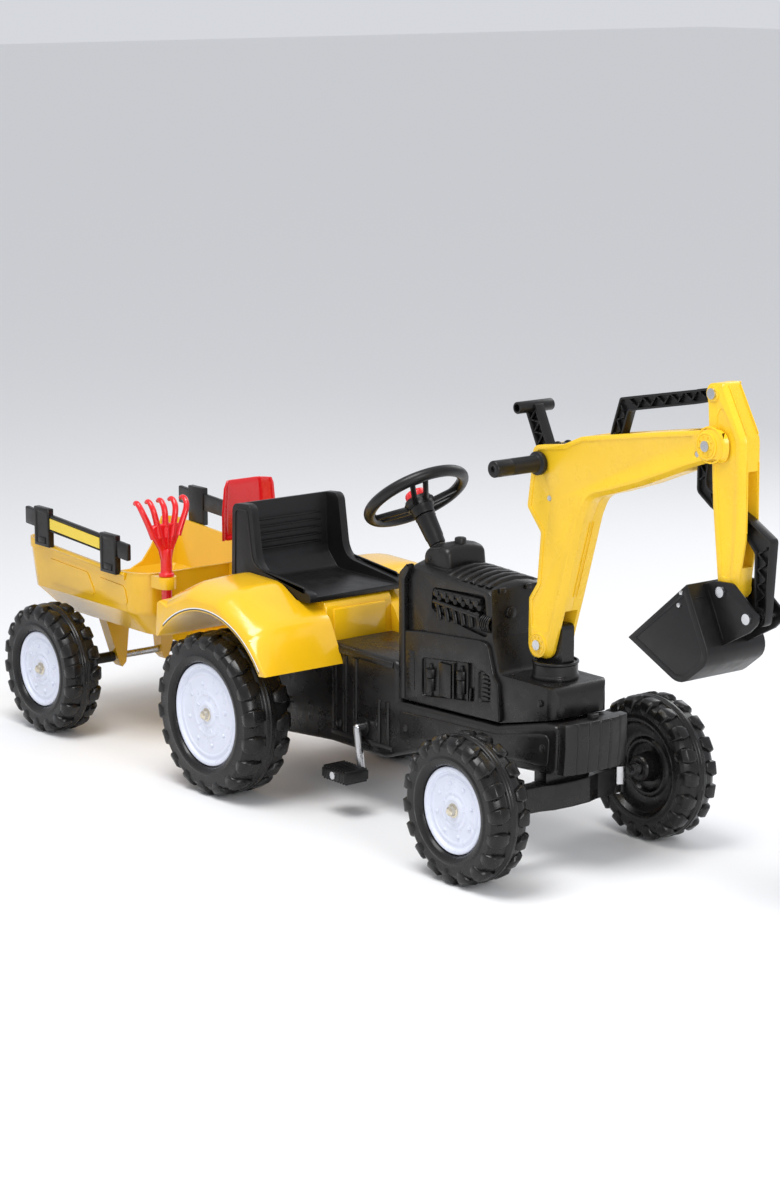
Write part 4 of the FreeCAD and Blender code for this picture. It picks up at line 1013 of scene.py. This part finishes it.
# ------------------------------
# Links: black open bars with zigzag ribs. The upper one joins the lever to the head of the stick,
# and the lower one joins the boom to the back of the bucket.
upper = truss("upper_link", [(-13, 603, 6), (104, 605, 4), (122, 640), (137, 682, 5), (270, 707.5),
    (321, 719.5, 7.8), (320, 736, 7.8), (300, 734), (270, 727.5), (119, 699, 5), (105, 660), (93, 620, 4),
    (-13, 619, 6)], 7, 3.0, [((102, 622), (126, 686), 12, 6), ((138, 692), (300, 727), 13, 12),
    ((8, 611.5), (92, 612.5), 10, 7)], [(-5, 611, 7.6, 3.3), (313, 728, 7.6, BOLT_HOLE)])
smooth(upper)
dress(upper, part_black, "top_link", "black_part", "top_link")

lower = truss("lower_link", [(283, 652, 7), (299, 652, 7), (292, 598, 12), (372, 566), (418, 541, 7),
    (411, 440), (409, 421, 9), (386, 421, 9), (388, 442), (388, 520, 10), (366, 542), (302, 570),
    (275, 588, 10), (275, 620)], 7, 3.2, [((287, 634), (284, 604), 11, 3), ((296, 586), (372, 554), 15, 6),
    ((401, 530), (400, 454), 15, 7)], [(291, 643, 7.6, BOLT_HOLE), (397, 434, 12.9, 7.4)])
smooth(lower)
dress(lower, part_black, "lower_link", "black_part", "lower_link")

# ------------------------------
# Stick: a deep yellow moulding with cut-back front corners, a raised border on its sides, a ridge
# down its front and slots for the lower link.
STICK = [(299, 741, 12), (333, 744, 7), (373, 672, 26), (375, 537), (366, 488), (362, 448, 15), (332, 452, 14),
    (330, 478), (318, 577), (314, 639.5), (300, 642, 8), (293, 650, 8), (293, 664, 8), (299, 675, 8),
    (307, 684), (305, 712)]
stick = rolled_plate("stick", STICK, (-18, -12, 12, 18), (5.5, 0, 0, 5.5), Vector((1.0, 0.05)))
STICK_PANEL = [(319, 634, 6), (322, 700, 6), (331, 716, 6), (358, 668, 20), (361, 540), (353, 482, 6),
    (338, 480, 6), (327, 580)]
cuts = [side_plate("panel", STICK_PANEL, (-24, -16.7)), side_plate("panel", STICK_PANEL, (16.7, 24)),
    block(350, 400, -9, 9, 496, 628, 0), block(270, 340, -9, 9, 500, 722, 0),
    block(285, 309, -9, 9, 690, 746, 0), block(280, 322, -14.1, 14.1, 628, 690, 0)]
for x, z in ((313, 728), (310, 657), (347, 463)):
    cuts.append(drill(x, z))
carve(stick, *cuts)
soften(stick, 0.8, angle=34)
stick_parts = [stick]
for side in (-1, 1):
    near, far = sorted((side * 17.6, side * 19.2))
    for x, z in ((313, 728), (347, 463)):
        boss = barrel((x, near, z), (x, far, z), 11.5, sides=40, rounding=0.6)
        carve(boss, drill(x, z))
        stick_parts.append(boss)
    stick_parts.append(strip((374.3, side * 10.6, 640), (375.6, side * 10.6, 545), 1.6, 1.4, 0.4))
    stick_parts.append(strip((336, side * 10.6, 741), (372, side * 10.6, 678), 1.6, 1.4, 0.4))
assembled("stick_moulding", stick_parts, 32, arm_yellow, "stick", "yellow_arm", "stick")

# ------------------------------
# Bucket: a black scoop with rounded heel, a rim along its sides and lip, two bracket plates on its
# back and zinc bolts through them.
scoop = side_plate("scoop", [(195, 377), (300, 327, 32), (358, 372, 24), (309, 471)], (-56, 56))
inside = side_plate("inside", [(180, 389), (201, 379), (301, 331.5, 29), (353, 373, 21), (307, 466),
    (290, 500)], (-52, 52))
carve(scoop, inside)
soften(scoop, 1.8, segments=3, angle=34)
scoop_parts = [scoop]


def scoop_edge():
    """Raised band round one side wall, standing just proud of it."""
    band = side_plate("band", [(200, 377.5), (300, 329.5, 30), (355.5, 372.5, 22), (309, 467)], (-56.7, -55))
    carve(band, side_plate("window", [(213, 380), (299, 338.5, 23), (345.5, 374.5, 16), (305.5, 455)],
        (-60, -50)))
    soften(band, 0.5, angle=40)
    return band


scoop_parts += each_side(scoop_edge)
for low, high in ((-26.4, -21.6), (21.6, 26.4)):
    bracket = side_plate("bracket", [(308.5, 467), (331, 475.5, 6), (366, 477.5, 10), (421.5, 436, 12),
        (400, 415.5, 8), (348.5, 388)], (low, high))
    soften(bracket, 1.0)
    for x, z in ((347, 463), (397, 434)):
        carve(bracket, drill(x, z, BOLT_HOLE, -60, 60))
    scoop_parts.append(bracket)
    near, far = (low - 0.9, low) if low < 0 else (high, high + 0.9)
    scoop_parts.append(strip((322, (near + far) / 2, 462), (352, (near + far) / 2, 398), 1.8, 1.6, 0.5))
for z, x in ((452, 316), (420, 331)):
    scoop_parts.append(bar(from_axle(x + 1.6, -50, z), from_axle(x + 1.6, 50, z), 2.6, 1.6, Vector((1, 0, 0.5)),
        0.6))
assembled("bucket_scoop", scoop_parts, 34, part_black, "bucket", "black_part", "bucket")
for side in (-1, 1):
    for x, z in ((300, 458), (296, 440)):
        screw = barrel((x, side * 55.6, z), (x, side * 58.4, z), 3.6, sides=6, rounding=0.5)
        screw.name = "bucket_screw_%d_%d" % (side, z)
        dress(screw, steel, "bucket", "zinc_bolts")

# ------------------------------
# Bolts of the arm: plain steel in bright zinc. Their CAD shapes are right, so they only get a
# finish.
zinc = moulded_plastic("bright zinc", (0.62, 0.63, 0.65), 0.24, metallic=1.0, cloudiness=0.15, grain=0.06,
    grain_size=1400.0, rubbing=0.2, waviness=0.3)
finish_nodes(zinc, "boom_bolts", "stick_bolts", "bucket_bolt", "lever_pin")

# ------------------------------
# Trailer: a glossy yellow blow-moulded tub with a rolled rim, pressed side panels and a drawbar
# tongue. Two pointed brackets carry its axle in black sleeves.
def tub_half_width(z):
    """Half width of the tub at a height, on its straight sides."""
    if z < 232:
        return 108 + (z - 190) / 42 * 38
    return 146 + (z - 232) / 86 * 8


def tub_panel(points, stand, rounding=1.2):
    """Pressed panel that follows the sloping right side of the tub; points are (x, z, radius)."""
    panel = side_plate("panel", points, (-1, 0))
    edit(panel)
    bpy.ops.mesh.subdivide(number_cuts=1)
    close_edit()
    for vertex in panel.data.vertices:
        out = stand if vertex.co.y < mm(-0.5) else -1.5
        vertex.co.y = -mm(tub_half_width(vertex.co.z * 1000) + out)
    soften(panel, rounding, angle=50)
    return panel


def tub_sides():
    """Rolled rim band, upper and lower panels and ribs of the right side."""
    parts = [tub_panel([(-1158, 300, 3), (-915, 287, 3), (-915, 298, 4), (-1158, 312, 4)], 2.4, 1.6)]
    for start, end in (((-1168, 313.5), (-935, 301.2)), ((-935, 301.2), (-912, 301.6))):
        parts.append(barrel((start[0], -153.9, start[1] - 3.4), (end[0], -153.9, end[1] - 3.4), 3.2, sides=16,
            rounding=0.8))
    parts.append(tub_panel([(-1150, 246, 8), (-1150, 288, 8), (-1030, 282, 8), (-1010, 244, 8)], 1.5))
    parts.append(tub_panel([(-992, 244, 8), (-1002, 280, 8), (-920, 276, 8), (-914, 244, 8)], 1.5))
    return parts


finish_nodes(gloss_yellow, "trailer_tub", "holder_rings")
for name in ("trailer_tub", "holder_rings"):
    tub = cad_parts[name]
    weld = tub.modifiers.new("weld", "WELD")
    weld.merge_threshold = 0.00002
    edge = tub.modifiers.new("edge", "BEVEL")
    edge.width = 0.0016
    edge.segments = 2
    edge.limit_method = "ANGLE"
    edge.angle_limit = math.radians(40)
assembled("tub_relief", each_side(tub_sides), 40, gloss_yellow, "trailer", "yellow_gloss")
finish_nodes(body_black, "axle_sleeves")

# ------------------------------
# Side rails: black boards clipped on two posts each, with a plain yellow plate let into the board.
# The left one is the right one mirrored.
def side_rail():
    """The right rail: board with a raised frame, posts with a sunk face and a foot."""
    board = side_plate("board", [(-1204, 342, 3), (-890, 324, 3), (-890, 352, 3), (-1204, 372, 3)],
        (-163, -156))
    soften(board, 1.2)
    parts = [board]
    for x_low, x_high, z_low, z_high in ((-1172, -1127, 310, 377), (-969, -923, 296, 362)):
        post = block(x_low, x_high, -166, -154.3, z_low, z_high, 1.6)
        sink(post, lambda face: face.normal.y < -0.99, ((4.0, 0.0), (0.8, -1.4)))
        parts.append(post)
        parts.append(block(x_low + 12, x_high - 12, -166.2, -160, z_low + 6, z_low + 16, 1.0))
        parts.append(block(x_low + 6, x_high - 6, -165.4, -158, z_high - 9, z_high - 4, 0.8))
    for z_rear, z_front in ((364, 354.6), (340, 330.5)):
        parts.append(strip((-1124, -163.4, z_rear), (-972, -163.4, z_front), 2.4, 2.0, 0.6))
    return parts


right_rail = joined("rail_board_right", side_rail())
smooth(right_rail)
left_rail = copied(right_rail, MIRROR)
left_rail.name = "rail_board_left"
dress(right_rail, body_black, "trailer", "black_body", "side_rail_right")
dress(left_rail, body_black, "trailer", "black_body", "side_rail_left")
plate_yellow = moulded_plastic("plate yellow", (0.84, 0.62, 0.05), 0.34, coat=0.1, cloudiness=0.03, grain=0.04)
finish_nodes(plate_yellow, "rail_plates")

# ------------------------------
# Hand tools: a red rake with a cupped, ribbed palm and five curled tines, and a red shovel. They
# hang by their collars in the two loops on the tub.
TOOL_X, RAKE_Y, SHOVEL_Y = -848, -115, 42


def handle(y, top):
    """Straight handle with a hanging collar, turned up to where the blade starts."""
    part = spun("handle", [(0.3, 214), (7, 214), (8.8, 216), (9, 300), (12.6, 300.6), (12.8, 305), (9.9, 306.4),
        (9.6, 312), (9.6, top - 16), (10.4, top), (0.3, top)], 40)
    part.data.transform(Matrix.Translation(from_axle(TOOL_X, y, 0)) @ upright)
    soften(part, 0.4, angle=30)
    return part


def rake_tine(y, spread):
    """One tine: out of the palm, up and curled over towards the back."""
    places = [(0, 24 * spread, 366), (-1, 31 * spread, 384), (-1, 39 * spread, 400), (-3, 44.5 * spread, 413),
        (-9, 46.5 * spread, 423), (-18, 46 * spread, 427), (-23, 45 * spread, 422)]
    radii = [5.6, 5.4, 5.2, 5.0, 4.8, 4.3, 3.2]
    bpy.ops.object.select_all(action="DESELECT")
    bpy.ops.curve.primitive_nurbs_path_add()
    path = bpy.context.object
    path.data.splines.clear()
    line = path.data.splines.new("NURBS")
    line.points.add(len(places) - 1)
    for point, (x, across, z), radius in zip(line.points, places, radii):
        point.co = (*from_axle(TOOL_X + x, y + across, z), 1)
        point.radius = radius / 5.0
    line.use_endpoint_u = True
    line.order_u = 4
    line.resolution_u = 5
    path.data.bevel_depth = 0.005
    path.data.bevel_resolution = 4
    path.data.use_fill_caps = True
    bpy.ops.object.convert(target="MESH")
    tine = bpy.context.object
    smooth(tine, 60)
    return tine


palm = plate("palm", [(-9, 326, 4), (9, 326, 4), (13, 344, 30), (33, 380, 8), (22, 388, 8), (-22, 388, 8),
    (-33, 380, 8), (-13, 344, 30)], (-5, 0, 5), lambda u, v, level: from_axle(TOOL_X + level, RAKE_Y + u, v))
for vertex in palm.data.vertices:
    across = (vertex.co.y * 1000 - RAKE_Y) / 33
    vertex.co.x -= mm(4.0 * across * across)
soften(palm, 2.4, segments=3, angle=35)
rake_parts = [handle(RAKE_Y, 346), palm]
for index in range(5):
    spread = (index - 2) / 2
    rake_parts.append(rake_tine(RAKE_Y, spread))
    rake_parts.append(strip((-843.5 - abs(spread) * 2.0, RAKE_Y + spread * 6, 340),
        (-844.5 - abs(spread) * 3.4, RAKE_Y + spread * 29, 382), 3.4, 4.6, 1.3))
assembled("hand_rake", rake_parts, 45, horn_red, "rake", "red_plastic", "rake")

blade = plate("blade", [(-56, 0), (-38, -19.5, 14), (38, -19.5, 14), (56, 0), (50, 0, 6), (36, -15.5, 12),
    (-36, -15.5, 12), (-50, 0)], (348, 392, 436, 446),
    lambda u, v, level: from_axle(-832 + v, SHOVEL_Y + u, level))
for vertex in blade.data.vertices:
    height = (vertex.co.z * 1000 - 348) / 98
    vertex.co.y = mm(SHOVEL_Y) + (vertex.co.y - mm(SHOVEL_Y)) * (1 - 0.16 * max(0.0, height - 0.8) * 5)
soften(blade, 1.0, angle=40)
base = block(-856, -840, SHOVEL_Y - 40, SHOVEL_Y + 40, 345.5, 352, 2.4)
spine = strip((-850, SHOVEL_Y, 346), (-852.6, SHOVEL_Y, 420), 9, 5, 2.0)
assembled("hand_shovel", [handle(SHOVEL_Y, 354), blade, base, spine], 40, horn_red, "shovel", "red_plastic",
    "shovel")

# ------------------------------
# Floor, studio light and camera: a plain pale floor, three large soft lamps and a bright room. The
# camera looks slightly down from the front right.
floor = begin("plane", size=60)
floor.name = "floor"
paper = bpy.data.materials.new("pale floor")
paper.use_nodes = True
paper.node_tree.nodes["Principled BSDF"].inputs["Base Color"].default_value = (0.86, 0.86, 0.86, 1)
paper.node_tree.nodes["Principled BSDF"].inputs["Roughness"].default_value = 0.85
floor.data.materials.append(paper)


def lamp(name, place, aim, size, watts):
    """A square soft lamp that faces its aim."""
    bpy.ops.object.light_add(type="AREA", location=place)
    light = bpy.context.object
    light.name = name
    light.data.size = size
    light.data.energy = watts
    light.rotation_euler = (Vector(aim) - Vector(place)).to_track_quat("-Z", "Y").to_euler()


lamp("top softbox", (0.2, -0.9, 2.7), (0, 0, 0.3), 1.3, 52)
lamp("front softbox", (3.0, -0.7, 1.3), (0.2, 0, 0.35), 1.1, 30)
lamp("left rim", (-0.6, 2.6, 1.8), (0, 0, 0.4), 1.4, 16)

world = bpy.data.worlds.new("studio room")
world.use_nodes = True
world.node_tree.nodes["Background"].inputs["Color"].default_value = (0.93, 0.95, 1.0, 1)
world.node_tree.nodes["Background"].inputs["Strength"].default_value = 0.72
bpy.context.scene.world = world
bpy.context.scene.view_settings.view_transform = "Standard"
bpy.context.scene.view_settings.look = "None"

around, height = math.radians(51.43), math.radians(12.25)
back = Vector((math.sin(around) * math.cos(height), -math.cos(around) * math.cos(height), math.sin(height)))
bpy.ops.object.camera_add(location=(3.6090, -2.8792, 1.3261))
camera = bpy.context.object
camera.rotation_euler = back.to_track_quat("Z", "Y").to_euler()
camera.data.lens = 91.65
camera.data.sensor_width = 36
bpy.context.scene.camera = camera
